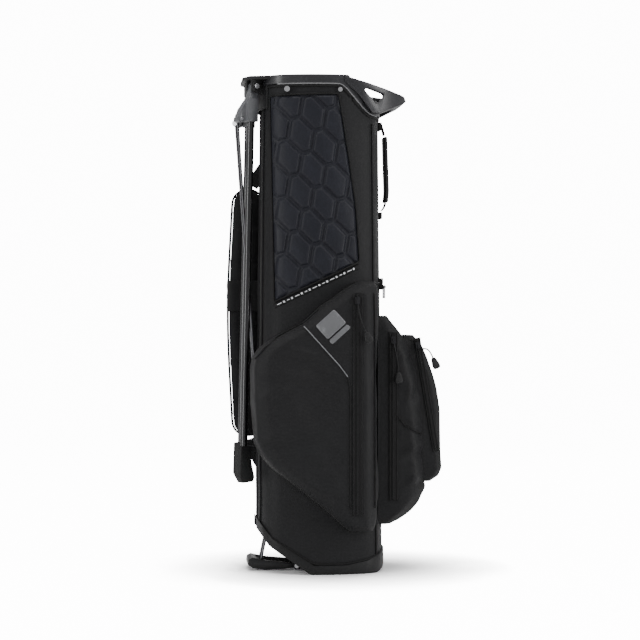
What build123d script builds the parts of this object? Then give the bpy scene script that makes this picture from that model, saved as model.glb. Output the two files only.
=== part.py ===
"""Golf stand bag: every sub-part as its own solid, exported in one shared frame.

The bag stands on its base. +Z is up. -X is the side with the legs, +X is the
side with the ball pocket. -Y is the side with the large clothing pocket.
The origin is on the floor under the middle of the tube.
"""
import os
from math import asin, atan2, cos, degrees, hypot, radians, sin, tan

from build123d import *

# Driving sizes, in millimetres
bag_height = 889.0          # top of the collar
base_half_x = 117.0         # tube half length at the floor
base_half_y = 107.0         # tube half width at the floor
top_half_x = 109.0          # tube half length at the collar
top_half_y = 101.0          # tube half width at the collar
side_bow = 9.0              # how far each side bows outwards
corner_radius = 48.0        # rounding of the tube's upright corners
fabric_wall = 2.5           # laminated fabric and its foam
seat_gap = 0.1              # clearance between pieces that are sewn or riveted
free_gap = 0.35             # clearance between pieces that move past each other
collar_height = 16.0        # moulded rim
tub_wall = 2.3              # base moulding wall
tub_floor = 4.0             # base moulding floor
channel_half = 34.0         # half width of the rod channel in the front
channel_depth_x = 33.0      # depth of the rod channel, from the front at the floor
leg_splay = 25.0            # turn of each leg's swing plane, degrees
leg_spacing_half = 46.0     # pivot distance from the middle plane
leg_tube_radius = 6.35      # 12.7 mm tube
leg_length = 672.0          # pivot to the end of the tube, down the leg
pivot_pin_radius = 2.5
running_gap = 0.06          # radial clearance of a pin that turns in its hole
rod_radius = 2.25           # push rod wire
horn_forward = 22.0         # horn pin, forward of the leg pivot
horn_inboard = 21.3         # horn pin, towards the middle plane
horn_drop = 58.0            # horn pin, below the leg pivot
pocket_wall = 3.0
pocket_depth = 40.0         # clothing pocket, out from the tube
ball_depth = 78.0           # ball pocket, out from the tube
cord_radius = 1.4           # zip pull cord

# Derived sizes
x_scale = base_half_x / 117.0
y_scale = base_half_y / 107.0
z_scale = bag_height / 889.0
rim_low = bag_height - collar_height
channel_back = -(base_half_x - channel_depth_x)
pivot_x = -(top_half_x + 11.0)
pivot_z = bag_height - 17.0
splay = radians(leg_splay)
far_out = 400.0 * max(x_scale, y_scale)
above_all = bag_height + 200.0

os.makedirs("parts", exist_ok=True)


def half_size(z, half_base, half_top):
    """Half size of the tube at height z."""
    return half_base + (half_top - half_base) * z / bag_height


def plan(z, inset):
    """Closed outline of the tube at height z, moved inwards by inset."""
    core_x = half_size(z, base_half_x, top_half_x) - corner_radius - side_bow
    core_y = half_size(z, base_half_y, top_half_y) - corner_radius - side_bow
    with BuildSketch(Plane.XY.offset(z)) as outline:
        with BuildLine():
            ThreePointArc((-core_x, -core_y), (0, -core_y - side_bow), (core_x, -core_y))
            ThreePointArc((core_x, -core_y), (core_x + side_bow, 0), (core_x, core_y))
            ThreePointArc((core_x, core_y), (0, core_y + side_bow), (-core_x, core_y))
            ThreePointArc((-core_x, core_y), (-core_x - side_bow, 0), (-core_x, -core_y))
        make_face()
        offset(amount=corner_radius - inset)
    return outline.sketch


def envelope(inset, z_low=0.0, z_high=bag_height):
    """Solid tube, tapered, moved inwards by inset."""
    low = plan(z_low, inset)
    high = plan(z_high, inset)
    with BuildPart() as tube:
        loft([low.face(), high.face()], ruled=True)
    return tube.part


def side_prism(points, y_low=-far_out, y_high=far_out, rounding=0.0):
    """Prism whose outline is drawn in X and Z and which runs along Y."""
    with BuildPart() as prism:
        with BuildSketch(Plane.XZ.offset(-y_high)) as outline:
            with BuildLine():
                Polyline(*points, close=True)
            make_face()
            if rounding > 0:
                fillet(outline.vertices(), radius=rounding)
        extrude(amount=y_high - y_low)
    return prism.part


def top_prism(points, z_low, z_high, rounding=0.0):
    """Prism whose outline is drawn in X and Y and which runs along Z."""
    with BuildPart() as prism:
        with BuildSketch(Plane.XY.offset(z_low)) as outline:
            with BuildLine():
                Polyline(*points, close=True)
            make_face()
            if rounding > 0:
                fillet(outline.vertices(), radius=rounding)
        extrude(amount=z_high - z_low)
    return prism.part


def block(x_low, x_high, y_low, y_high, z_low, z_high, rounding=0.0):
    """Box given by its limits."""
    centre = ((x_low + x_high) / 2, (y_low + y_high) / 2, (z_low + z_high) / 2)
    with BuildPart() as box:
        with Locations(centre):
            Box(x_high - x_low, y_high - y_low, z_high - z_low)
        if rounding > 0:
            fillet(box.edges(), radius=rounding)
    return box.part


def rod_y(x, z, radius, y_low, y_high):
    """Cylinder along Y."""
    with BuildPart() as rod:
        with BuildSketch(Plane.XZ.offset(-y_high)):
            with Locations((x, z)):
                Circle(radius)
        extrude(amount=y_high - y_low)
    return rod.part


def scaled(points):
    """Points in X and Z that follow the tube's own length at each height."""
    placed = []
    for x, z in points:
        own_scale = half_size(z * z_scale, base_half_x, top_half_x) / (117.0 - 8.0 * z / 889.0)
        placed.append((x * own_scale, z * z_scale))
    return placed


def mirrored(shape):
    """The same piece on the other side of the middle plane."""
    return shape.mirror(Plane.XZ)


def keep(part, name):
    """Name a finished piece and write it out."""
    part.label = name
    export_step(part, "parts/" + name + ".step")


# Side profiles shared by several pieces
toe_start = -22.0 * x_scale
toe_break = -95.0 * x_scale
toe_break_z = 50.0
front_end = -(base_half_x + 20.0)
back_end = base_half_x + 20.0
toe_slope = toe_break_z / (toe_start - toe_break)
front_slope = 30.0 / 22.0
sole_line = [
    (front_end, toe_break_z + (toe_break - front_end) * front_slope),
    (toe_break, toe_break_z),
    (toe_start, 0.0),
    (base_half_x - 19.0, 0.0),
    (base_half_x - 6.0, 5.0),
    (back_end, 31.0),
]
fabric_line = [
    (front_end, toe_break_z + (toe_break - front_end) * front_slope + 8.0),
    (toe_break + 1.5, toe_break_z + 5.0),
    (toe_start + 1.5, tub_floor + 0.6),
    (base_half_x - 20.5, tub_floor + 0.6),
    (base_half_x - 8.5, tub_floor + 6.0),
    (back_end, 38.0),
]
seam_line = [
    (front_end, toe_break_z + (toe_break - front_end) * front_slope + 17.0),
    (toe_break + 6.0, toe_break_z + 12.0),
    (toe_start + 6.0, 16.0),
    (base_half_x * 0.35, 16.0),
    (base_half_x * 0.7, 23.0),
    (back_end, 46.0),
]
scoop_start = top_half_x * 0.30
collar_low = [
    (back_end, bag_height - 70.0),
    (top_half_x * 0.84, bag_height - 69.0),
    (top_half_x * 0.76, bag_height - 66.0),
    (top_half_x * 0.65, bag_height - 55.0),
    (top_half_x * 0.52, bag_height - 39.0),
    (top_half_x * 0.39, bag_height - 23.0),
    (scoop_start, rim_low),
    (front_end, rim_low),
]
collar_top = [
    (back_end, bag_height - 44.0),
    (top_half_x * 0.80, bag_height - 43.0),
    (top_half_x * 0.68, bag_height - 31.0),
    (top_half_x * 0.55, bag_height - 15.0),
    (top_half_x * 0.42, bag_height),
    (front_end, bag_height),
]

outer_tube = envelope(0.0)
inner_tube = envelope(fabric_wall)
wide_tube = envelope(-seat_gap)
fabric_zone = side_prism(fabric_line + [(x, z - seat_gap) for x, z in collar_low])
channel_void = block(-far_out, channel_back, -channel_half, channel_half, -10.0, rim_low - 20.0)
channel_skin = block(
    -far_out,
    channel_back + fabric_wall,
    -channel_half - fabric_wall,
    channel_half + fabric_wall,
    -10.0,
    rim_low - 20.0 + fabric_wall,
)
spine_half = channel_half + 16.0
panel_split = base_half_x * 0.6

with BuildPart() as fabric_shell:
    add(outer_tube)
    add(inner_tube, mode=Mode.SUBTRACT)
    add(fabric_zone, mode=Mode.INTERSECT)

with BuildPart() as front_spine:
    add(outer_tube)
    add(inner_tube, mode=Mode.SUBTRACT)
    with BuildPart(mode=Mode.PRIVATE) as channel_walls:
        add(outer_tube)
        add(channel_skin, mode=Mode.INTERSECT)
    add(channel_walls.part)
    add(channel_void, mode=Mode.SUBTRACT)
    add(fabric_zone, mode=Mode.INTERSECT)
    add(block(-far_out, 0.0, -spine_half, spine_half, -10.0, above_all), mode=Mode.INTERSECT)
keep(front_spine.part, "front_spine")

with BuildPart() as body_panel_left:
    add(fabric_shell.part)
    add(block(-far_out, panel_split, -far_out, 0.0, -10.0, above_all), mode=Mode.INTERSECT)
    add(block(-far_out, 0.0, -spine_half, spine_half, -10.0, above_all), mode=Mode.SUBTRACT)
keep(body_panel_left.part, "body_panel_left")

with BuildPart() as body_panel_right:
    add(mirrored(body_panel_left.part))
keep(body_panel_right.part, "body_panel_right")

with BuildPart() as body_panel_back:
    add(fabric_shell.part)
    add(block(panel_split, far_out, -far_out, far_out, -10.0, above_all), mode=Mode.INTERSECT)
keep(body_panel_back.part, "body_panel_back")

# Base moulding: a tray around the foot of the fabric, with ears for the lever pin
hinge_x = toe_start - 20.0
hinge_clear = 4.7016
hinge_z = (toe_start - hinge_x) * toe_slope - hinge_clear * hypot(1.0, toe_slope)
lever_pin_radius = 2.5
ear_inner = 38.0
with BuildPart() as base_tub:
    add(envelope(-tub_wall - seat_gap))
    add(side_prism(sole_line + list(reversed(seam_line))), mode=Mode.INTERSECT)
    with BuildPart(mode=Mode.PRIVATE) as tray_room:
        add(envelope(-seat_gap))
        add(side_prism(fabric_line + [(back_end, 300.0), (front_end, 300.0)]), mode=Mode.INTERSECT)
    add(tray_room.part, mode=Mode.SUBTRACT)
    notch_half = channel_half + fabric_wall + seat_gap
    notch_end = channel_back + fabric_wall + seat_gap
    add(block(-far_out, notch_end, -notch_half, notch_half, -5.0, 300.0), mode=Mode.SUBTRACT)
    for ear_low, ear_high in ((ear_inner, ear_inner + 5.0), (-ear_inner - 5.0, -ear_inner)):
        ear_outline = [
            (hinge_x - 7.0, hinge_z - 2.0),
            (hinge_x - 3.0, hinge_z - 6.0),
            (hinge_x + 4.0, hinge_z - 6.0),
            (hinge_x + 12.0, (toe_start - hinge_x - 12.0) * toe_slope + 2.0),
            (hinge_x - 7.0, (toe_start - hinge_x + 7.0) * toe_slope + 2.0),
        ]
        add(side_prism(ear_outline, ear_low, ear_high))
    add(rod_y(hinge_x, hinge_z, lever_pin_radius, -ear_inner - 5.0, ear_inner + 5.0), mode=Mode.SUBTRACT)
keep(base_tub.part, "base_tub")

with BuildPart() as lever_hinge_pin:
    add(rod_y(hinge_x, hinge_z, lever_pin_radius, -ear_inner - 5.0, ear_inner + 5.0))
    add(rod_y(hinge_x, hinge_z, lever_pin_radius + 1.5, -ear_inner - 6.5, -ear_inner - 5.0))
    add(rod_y(hinge_x, hinge_z, lever_pin_radius + 1.5, ear_inner + 5.0, ear_inner + 6.5))
keep(lever_hinge_pin.part, "lever_hinge_pin")

# Collar and grab handle
with BuildPart() as top_collar:
    add(envelope(-2.5, 0.0, bag_height))
    add(envelope(4.0, 0.0, bag_height), mode=Mode.SUBTRACT)
    add(side_prism(collar_low + list(reversed(collar_top))), mode=Mode.INTERSECT)
keep(top_collar.part, "top_collar")

handle_tip = top_half_x + 48.0
handle_outline = [
    (top_half_x * 0.36, bag_height - 2.0),
    (handle_tip - 4.0, bag_height - 33.0),
    (handle_tip, bag_height - 41.0),
    (handle_tip - 7.0, bag_height - 46.0),
    (top_half_x - 4.5, bag_height - 67.0),
    (top_half_x * 0.82, bag_height - 66.0),
    (top_half_x * 0.60, bag_height - 36.0),
    (top_half_x * 0.36, bag_height - 12.0),
]
window_outline = [
    (top_half_x * 0.62, bag_height - 19.0),
    (top_half_x + 5.0, bag_height - 32.0),
    (top_half_x - 11.0, bag_height - 52.0),
]
tip_half = 46.0
handle_plan = [
    (top_half_x * 0.30, top_half_y + 2.0),
    (top_half_x * 0.75, top_half_y - 4.0),
    (top_half_x + 8.0, top_half_y * 0.80),
    (handle_tip - 10.0, tip_half + 12.0),
    (handle_tip + 3.0, tip_half - 10.0),
]
grip_inner = handle_tip - 22.0
handle_inner = [
    (top_half_x * 0.10, top_half_y - 8.0),
    (top_half_x * 0.60, top_half_y - 13.0),
    (top_half_x - 4.0, top_half_y * 0.66),
    (grip_inner, tip_half - 12.0),
]
with BuildPart() as grab_handle:
    add(side_prism(handle_outline))
    add(side_prism(window_outline, rounding=4.0), mode=Mode.SUBTRACT)
    outside = handle_plan + [(x, -y) for x, y in reversed(handle_plan)]
    add(top_prism(outside, 0.0, above_all), mode=Mode.INTERSECT)
    inside = handle_inner + [(x, -y) for x, y in reversed(handle_inner)]
    add(top_prism(inside, 0.0, above_all), mode=Mode.SUBTRACT)
    with BuildPart(mode=Mode.PRIVATE) as rim_room:
        add(envelope(-2.5 - seat_gap, 0.0, bag_height))
        low_side = [(front_end, 0.0), (back_end, 0.0)]
        lifted = [(x, z + seat_gap) for x, z in collar_top]
        add(side_prism(low_side + lifted), mode=Mode.INTERSECT)
    add(rim_room.part, mode=Mode.SUBTRACT)
keep(grab_handle.part, "grab_handle")

# Dividers and stays inside
cross_x = 12.0 * x_scale
divider_top = bag_height - 47.0
frame_profile = [
    (front_end, divider_top),
    (top_half_x * 0.35, divider_top),
    (top_half_x * 0.62, divider_top - 30.0),
    (back_end, divider_top - 36.0),
    (back_end, divider_top - 8.0),
    (top_half_x * 0.78, divider_top - 6.0),
    (top_half_x * 0.42, rim_low - 1.0),
    (front_end, rim_low - 1.0),
]
divider_front = channel_back + fabric_wall + 1.0
with BuildPart() as divider_frame:
    add(block(divider_front, far_out, -3.5, 3.5, 0.0, above_all))
    add(block(cross_x - 3.5, cross_x + 3.5, -far_out, far_out, 0.0, above_all))
    add(side_prism(frame_profile), mode=Mode.INTERSECT)
    add(envelope(4.0 + seat_gap), mode=Mode.INTERSECT)
keep(divider_frame.part, "divider_frame")

panel_profile = [
    (front_end, 150.0),
    (toe_break, toe_break_z + 12.0),
    (toe_start, tub_floor + 8.0),
    (base_half_x - 20.0, tub_floor + 8.0),
    (back_end, 60.0),
    (back_end, divider_top - 36.5),
    (top_half_x * 0.62, divider_top - 30.5),
    (top_half_x * 0.35, divider_top - 0.5),
    (front_end, divider_top - 0.5),
]
with BuildPart() as divider_panels:
    add(block(divider_front, far_out, -0.8, 0.8, 0.0, above_all))
    add(block(cross_x - 0.8, cross_x + 0.8, -far_out, far_out, 0.0, above_all))
    add(side_prism(panel_profile), mode=Mode.INTERSECT)
    add(envelope(fabric_wall + 2.0), mode=Mode.INTERSECT)
keep(divider_panels.part, "divider_panels")

stay_radius = 3.0
stay_x = top_half_x - corner_radius - 11.0
stay_y = top_half_y - 18.0
stay_places = []
for side in (-1, 1):
    stay_places.append((-stay_x, side * stay_y))
    stay_places.append((stay_x, side * stay_y))
with BuildPart() as spine_stays:
    for place_x, place_y in stay_places:
        stay_low = 60.0 if place_x < 0 else 20.0
        with BuildSketch(Plane.XY.offset(stay_low)):
            with Locations((place_x, place_y)):
                Circle(stay_radius)
        extrude(amount=bag_height - 90.0 - stay_low)
keep(spine_stays.part, "spine_stays")

# Leg pieces, drawn about the pivot: x backwards in the swing plane, y along the pin
leg_place = Location((pivot_x, -leg_spacing_half, pivot_z)) * Rotation(0, 0, leg_splay)
knuckle_half = 7.0
cheek = 4.0
lean = (7.5 + base_half_x - top_half_x) / 652.0


def lean_x(z):
    """Leg centre line, as x at a height below the pivot."""
    return -5.0 + (z + 20.0) * lean


def set_leg(shape, left):
    """Move a piece drawn about the pivot to one side of the bag."""
    placed = leg_place * shape
    return placed if left else mirrored(placed)


def tube_along(radius, z_high, z_low):
    """Cylinder on the leg's centre line."""
    top = Vector(lean_x(z_high), 0, z_high)
    low = Vector(lean_x(z_low), 0, z_low)
    with BuildPart() as tube:
        with BuildSketch(Plane(origin=top, x_dir=(0, 1, 0), z_dir=low - top)):
            Circle(radius)
        extrude(amount=(low - top).length)
    return tube.part


socket_low = -64.0
with BuildPart() as leg_head:
    add(rod_y(0, 0, 7.5, -knuckle_half, knuckle_half))
    neck = [(-7.4, 0.0), (7.4, 0.0), (4.0, -26.0), (-15.0, -26.0)]
    add(side_prism(neck, -knuckle_half, knuckle_half))
    shroud = [(-15.0, -22.0), (4.5, -22.0), (4.0, socket_low), (-17.0, socket_low)]
    add(side_prism(shroud, -9.5, 9.5, rounding=2.0))
    horn = [
        (-12.0, -24.0),
        (-12.0, -60.0),
        (-horn_forward, -horn_drop - 7.0),
        (-horn_forward - 6.5, -horn_drop - 1.0),
        (-horn_forward - 3.0, -horn_drop + 16.0),
    ]
    add(side_prism(horn, 1.0, horn_inboard - 3.6))
    add(rod_y(-horn_forward, -horn_drop, 7.0, 4.0, horn_inboard - 3.6))
    add(rod_y(0, 0, pivot_pin_radius + running_gap, -20.0, 20.0), mode=Mode.SUBTRACT)
    add(rod_y(-horn_forward, -horn_drop, pivot_pin_radius, -10.0, 40.0), mode=Mode.SUBTRACT)
    add(tube_along(leg_tube_radius + 0.02, -24.0, socket_low - 10.0), mode=Mode.SUBTRACT)
leg_tube_low = -leg_length
with BuildPart() as leg_tube:
    add(tube_along(leg_tube_radius, -24.5, leg_tube_low))
    add(tube_along(leg_tube_radius - 1.2, -24.4, leg_tube_low - 1.0), mode=Mode.SUBTRACT)
foot_x = lean_x(leg_tube_low)
with BuildPart() as leg_foot:
    foot_outline = [
        (foot_x - 10.0, leg_tube_low + 26.0),
        (foot_x + 9.5, leg_tube_low + 26.0),
        (foot_x + 11.0, leg_tube_low - 4.0),
        (foot_x + 17.0, leg_tube_low - 30.0),
        (foot_x + 14.0, leg_tube_low - 38.0),
        (foot_x - 7.0, leg_tube_low - 40.0),
        (foot_x - 12.0, leg_tube_low - 30.0),
    ]
    add(side_prism(foot_outline, -10.0, 10.0, rounding=2.5))
    add(tube_along(leg_tube_radius + 0.02, leg_tube_low + 40.0, leg_tube_low - 0.5), mode=Mode.SUBTRACT)
with BuildPart() as horn_pin:
    add(rod_y(-horn_forward, -horn_drop, pivot_pin_radius, 2.0, horn_inboard + 3.6))
    add(rod_y(-horn_forward, -horn_drop, 5.0, horn_inboard + 3.6, horn_inboard + 6.0))
for left, word in ((True, "left"), (False, "right")):
    keep(set_leg(leg_head.part, left), "leg_head_" + word)
    keep(set_leg(leg_tube.part, left), "leg_tube_" + word)
    keep(set_leg(leg_foot.part, left), "leg_foot_" + word)
    keep(set_leg(horn_pin.part, left), "horn_pin_" + word)

# Bracket that carries both legs
bolt_reach = knuckle_half + free_gap + cheek
with BuildPart() as cheeks:
    cheek_outline = [(-10.0, -9.0), (-10.0, 12.0), (12.0, 12.0), (14.0, -12.0), (4.0, -12.0)]
    add(side_prism(cheek_outline, -bolt_reach, -bolt_reach + cheek))
    add(side_prism(cheek_outline, bolt_reach - cheek, bolt_reach))
roof_z = bag_height - 6.5
with BuildPart() as leg_bracket:
    with BuildPart(mode=Mode.PRIVATE) as back_plate:
        add(envelope(-3.0))
        add(wide_tube, mode=Mode.SUBTRACT)
        plate_zone = block(-far_out, -top_half_x * 0.55, -66.0, 66.0, rim_low - 42.0, rim_low - 1.0)
        add(plate_zone, mode=Mode.INTERSECT)
    with BuildPart(mode=Mode.PRIVATE) as roof:
        roof_outline = [
            (-top_half_x * 0.72, -top_half_y * 0.78),
            (pivot_x - 8.0, -leg_spacing_half - 20.0),
            (pivot_x - 20.0, -leg_spacing_half + 8.0),
            (pivot_x - 20.0, leg_spacing_half - 8.0),
            (pivot_x - 8.0, leg_spacing_half + 20.0),
            (-top_half_x * 0.72, top_half_y * 0.78),
        ]
        add(top_prism(roof_outline, roof_z, bag_height))
        add(envelope(-2.5 - seat_gap), mode=Mode.SUBTRACT)
    add(back_plate.part)
    add(roof.part)
    for left in (True, False):
        with BuildPart(mode=Mode.PRIVATE) as side_cheeks:
            add(set_leg(cheeks.part, left))
            add(envelope(-2.5 - seat_gap), mode=Mode.SUBTRACT)
        add(side_cheeks.part)
    skirt = [(pivot_x - 14.0, roof_z + 2.0), (pivot_x - 10.0, rim_low - 24.0), (pivot_x + 12.0, rim_low - 36.0)]
    skirt = skirt + [(pivot_x + 12.0, roof_z + 2.0)]
    with BuildPart(mode=Mode.PRIVATE) as middle_rib:
        add(side_prism(skirt, -10.0, 10.0))
        add(envelope(-2.5 - seat_gap), mode=Mode.SUBTRACT)
    add(middle_rib.part)
    for left in (True, False):
        hole = rod_y(0, 0, pivot_pin_radius, -bolt_reach - 1.0, bolt_reach + 1.0)
        add(set_leg(hole, left), mode=Mode.SUBTRACT)
keep(leg_bracket.part, "leg_bracket")

with BuildPart() as one_bolt:
    add(rod_y(0, 0, pivot_pin_radius, -bolt_reach, bolt_reach))
    add(rod_y(0, 0, 4.5, -bolt_reach - 2.0, -bolt_reach))
    add(rod_y(0, 0, 4.0, bolt_reach, bolt_reach + 1.6))
with BuildPart() as leg_pivot_bolts:
    add(set_leg(one_bolt.part, True))
    add(set_leg(one_bolt.part, False))
keep(leg_pivot_bolts.part, "leg_pivot_bolts")

# Foot lever: two prongs, a nose and two slotted lugs
pin_x = hinge_x - 64.0
pin_z = hinge_z + 6.0
prong_low = 28.0
prong_high = 37.5
nose_x = pin_x - 24.0
slot_play = 3.4
wire_slot = rod_radius + 0.9
with BuildPart() as foot_lever:
    prong = [
        (hinge_x, hinge_z + 4.0),
        (pin_x + 8.0, pin_z + 3.5),
        (nose_x + 8.0, pin_z + 9.0),
        (nose_x + 1.0, pin_z + 5.0),
        (nose_x, pin_z - 4.0),
        (nose_x + 8.0, pin_z - 9.5),
        (pin_x + 6.0, 1.2),
        (hinge_x - 34.0, 1.6),
        (hinge_x, hinge_z - 4.0),
    ]
    add(side_prism(prong, prong_low, prong_high))
    add(side_prism(prong, -prong_high, -prong_low))
    add(rod_y(hinge_x, hinge_z, 4.0, prong_low, prong_high))
    add(rod_y(hinge_x, hinge_z, 4.0, -prong_high, -prong_low))
    nose = [
        (pin_x - 8.0, pin_z + 6.5),
        (nose_x + 8.0, pin_z + 9.0),
        (nose_x + 1.0, pin_z + 5.0),
        (nose_x, pin_z - 4.0),
        (nose_x + 8.0, pin_z - 9.5),
        (pin_x - 8.0, pin_z - 11.0),
    ]
    add(side_prism(nose, -prong_low - 1.0, prong_low + 1.0))
    lug = [
        (pin_x - 9.0, pin_z + 6.0),
        (pin_x + 6.5, pin_z + 6.0),
        (pin_x + 6.5, pin_z - 11.5),
        (pin_x - 9.0, pin_z - 11.0),
    ]
    for lug_low, lug_high in ((7.0, 12.0), (-12.0, -7.0)):
        add(side_prism(lug, lug_low, lug_high))
    with BuildPart(mode=Mode.PRIVATE) as slot:
        add(rod_y(pin_x + 0.3, pin_z, wire_slot, -20.0, 20.0))
        add(rod_y(pin_x + 0.3, pin_z - slot_play, wire_slot, -20.0, 20.0))
        low_x = pin_x + 0.3 - wire_slot
        add(block(low_x, low_x + 2 * wire_slot, -20.0, 20.0, pin_z - slot_play, pin_z))
    with BuildPart(mode=Mode.PRIVATE) as lug_slots:
        add(slot.part)
    add(lug_slots.part, mode=Mode.SUBTRACT)
    hole = rod_y(hinge_x, hinge_z, lever_pin_radius + running_gap, -60.0, 60.0)
    add(hole, mode=Mode.SUBTRACT)
keep(foot_lever.part, "foot_lever")

# Push rods, from each horn down the channel to the lever
horn_local = Vector(-horn_forward, horn_inboard, -horn_drop)
horn_x = pivot_x + horn_local.X * cos(splay) - horn_local.Y * sin(splay)
horn_y = -leg_spacing_half + horn_local.X * sin(splay) + horn_local.Y * cos(splay)
horn_z = pivot_z - horn_drop
rod_bend = (channel_back - 12.0, -20.0, 62.0)
rod_low = (pin_x, -20.0, pin_z)
rod_end = (pin_x, -5.0, pin_z)
with BuildPart() as push_rod:
    with BuildLine() as rod_path:
        FilletPolyline((horn_x, horn_y, horn_z), rod_bend, rod_low, rod_end, radius=4.5)
    with BuildSketch(Plane(origin=rod_path.line @ 0, z_dir=rod_path.line % 0)):
        Circle(rod_radius)
    sweep()
    add(set_leg(rod_y(-horn_forward, -horn_drop, 6.0, horn_inboard - 3.2, horn_inboard + 3.2), True))
    eye_hole = rod_y(-horn_forward, -horn_drop, pivot_pin_radius + running_gap, -10.0, 50.0)
    add(set_leg(eye_hole, True), mode=Mode.SUBTRACT)
keep(push_rod.part, "push_rod_left")
keep(mirrored(push_rod.part), "push_rod_right")


# Pockets: skins sewn to the tube, open towards it
def side_pocket(rows, inset, face_out):
    """Solid bulge on the -Y side. Each row is height, front x, back x, depth share."""
    faces = []
    last = len(rows) - 1
    for index, (z, front, back, share) in enumerate(rows):
        if index == 0:
            z = z + inset
        if index == last:
            z = z - inset
        out = base_half_y + face_out * share - inset
        low = front + inset
        high = back - inset
        corner = 14.0 * share
        points = [
            (low + 10.0, -top_half_y * 0.68 - inset),
            (low, -top_half_y * 0.82),
            (low + corner * 0.5, -out + corner),
            (low + corner * 2.2, -out),
            (high - corner * 1.5, -out),
            (high, -out + corner * 1.5),
            (high, -top_half_y * 0.5),
        ]
        with BuildSketch(Plane.XY.offset(z)) as row:
            with BuildLine():
                Polyline(*points, close=True)
            make_face()
        faces.append(row.sketch.face())
    with BuildPart() as bulge:
        loft(faces, ruled=True)
    return bulge.part


apparel_rows = [
    (79.0, 25.0, 92.0, 0.35),
    (96.0, 16.0, 95.0, 0.8),
    (112.0, -2.0, 96.0, 1.0),
    (150.0, -46.0, 97.0, 1.0),
    (190.0, -95.0, 97.0, 1.0),
    (228.0, -124.0, 97.0, 1.0),
    (380.0, -130.0, 97.0, 1.0),
    (404.0, -118.0, 97.0, 1.0),
    (424.0, -84.0, 97.0, 1.0),
    (450.0, -36.0, 97.0, 1.0),
    (478.0, -8.0, 97.0, 1.0),
    (498.0, 20.0, 96.0, 1.0),
    (511.0, 42.0, 95.0, 0.8),
    (520.0, 60.0, 92.0, 0.3),
]
apparel_rows = [(z * z_scale, a * x_scale, b * x_scale, s) for z, a, b, s in apparel_rows]
with BuildPart() as apparel_pocket:
    add(side_pocket(apparel_rows, 0.0, pocket_depth))
    add(envelope(-tub_wall - 2 * seat_gap), mode=Mode.SUBTRACT)
    add(side_pocket(apparel_rows, pocket_wall, pocket_depth), mode=Mode.SUBTRACT)
keep(apparel_pocket.part, "apparel_pocket")


def back_pocket(rows, inset, half_y, x_inner):
    """Solid bulge on the +X side. Each row is height, outer x, width share."""
    faces = []
    last = len(rows) - 1
    for index, (z, out, share) in enumerate(rows):
        if index == 0:
            z = z + inset
        if index == last:
            z = z - inset
        half = half_y * share - inset
        outer = out - inset
        corner = min(22.0, (outer - x_inner) * 0.4, half * 0.4)
        points = [
            (x_inner, -half),
            (outer - corner, -half),
            (outer, -half + corner),
            (outer, half - corner),
            (outer - corner, half),
            (x_inner, half),
        ]
        with BuildSketch(Plane.XY.offset(z)) as row:
            with BuildLine():
                Polyline(*points, close=True)
            make_face()
        faces.append(row.sketch.face())
    with BuildPart() as bulge:
        loft(faces, ruled=True)
    return bulge.part


ball_half = 78.0 * y_scale
ball_share = ball_depth / 78.0
ball_shape = [
    (84.0, 10.0, 0.8),
    (100.0, 38.0, 0.95),
    (120.0, 60.0, 1.0),
    (150.0, 78.0, 1.0),
    (240.0, 72.0, 1.0),
    (300.0, 69.0, 1.0),
    (345.0, 64.0, 1.0),
    (415.0, 50.0, 1.0),
    (438.0, 38.0, 1.0),
    (460.0, 10.0, 0.85),
]
ball_rows = [(z * z_scale, base_half_x + d * ball_share, s) for z, d, s in ball_shape]
with BuildPart() as ball_pocket:
    add(back_pocket(ball_rows, 0.0, ball_half, base_half_x * 0.6))
    add(envelope(-tub_wall - 2 * seat_gap), mode=Mode.SUBTRACT)
    add(back_pocket(ball_rows, pocket_wall, ball_half, base_half_x * 0.6), mode=Mode.SUBTRACT)
    add(block(-far_out, 98.0 * x_scale, -far_out, -ball_half * 0.6, 0.0, above_all), mode=Mode.SUBTRACT)
keep(ball_pocket.part, "ball_pocket")

accessory_half = 60.0 * y_scale
accessory_shape = [
    (160.0, 86.0, 0.9),
    (178.0, 104.0, 1.0),
    (215.0, 102.0, 1.0),
    (290.0, 101.0, 1.0),
    (330.0, 95.0, 1.0),
    (352.0, 89.0, 1.0),
    (385.0, 77.0, 1.0),
    (408.0, 69.0, 1.0),
    (425.0, 55.0, 0.9),
]
accessory_rows = [(z * z_scale, base_half_x + d * ball_share, s) for z, d, s in accessory_shape]
gap_rows = [(z, x + seat_gap, s) for z, x, s in ball_rows]
with BuildPart() as accessory_pocket:
    add(back_pocket(accessory_rows, 0.0, accessory_half, base_half_x * 0.9))
    add(back_pocket(gap_rows, 0.0, ball_half, base_half_x * 0.6), mode=Mode.SUBTRACT)
    add(back_pocket(accessory_rows, pocket_wall, accessory_half, base_half_x * 0.9), mode=Mode.SUBTRACT)
keep(accessory_pocket.part, "accessory_pocket")


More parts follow.
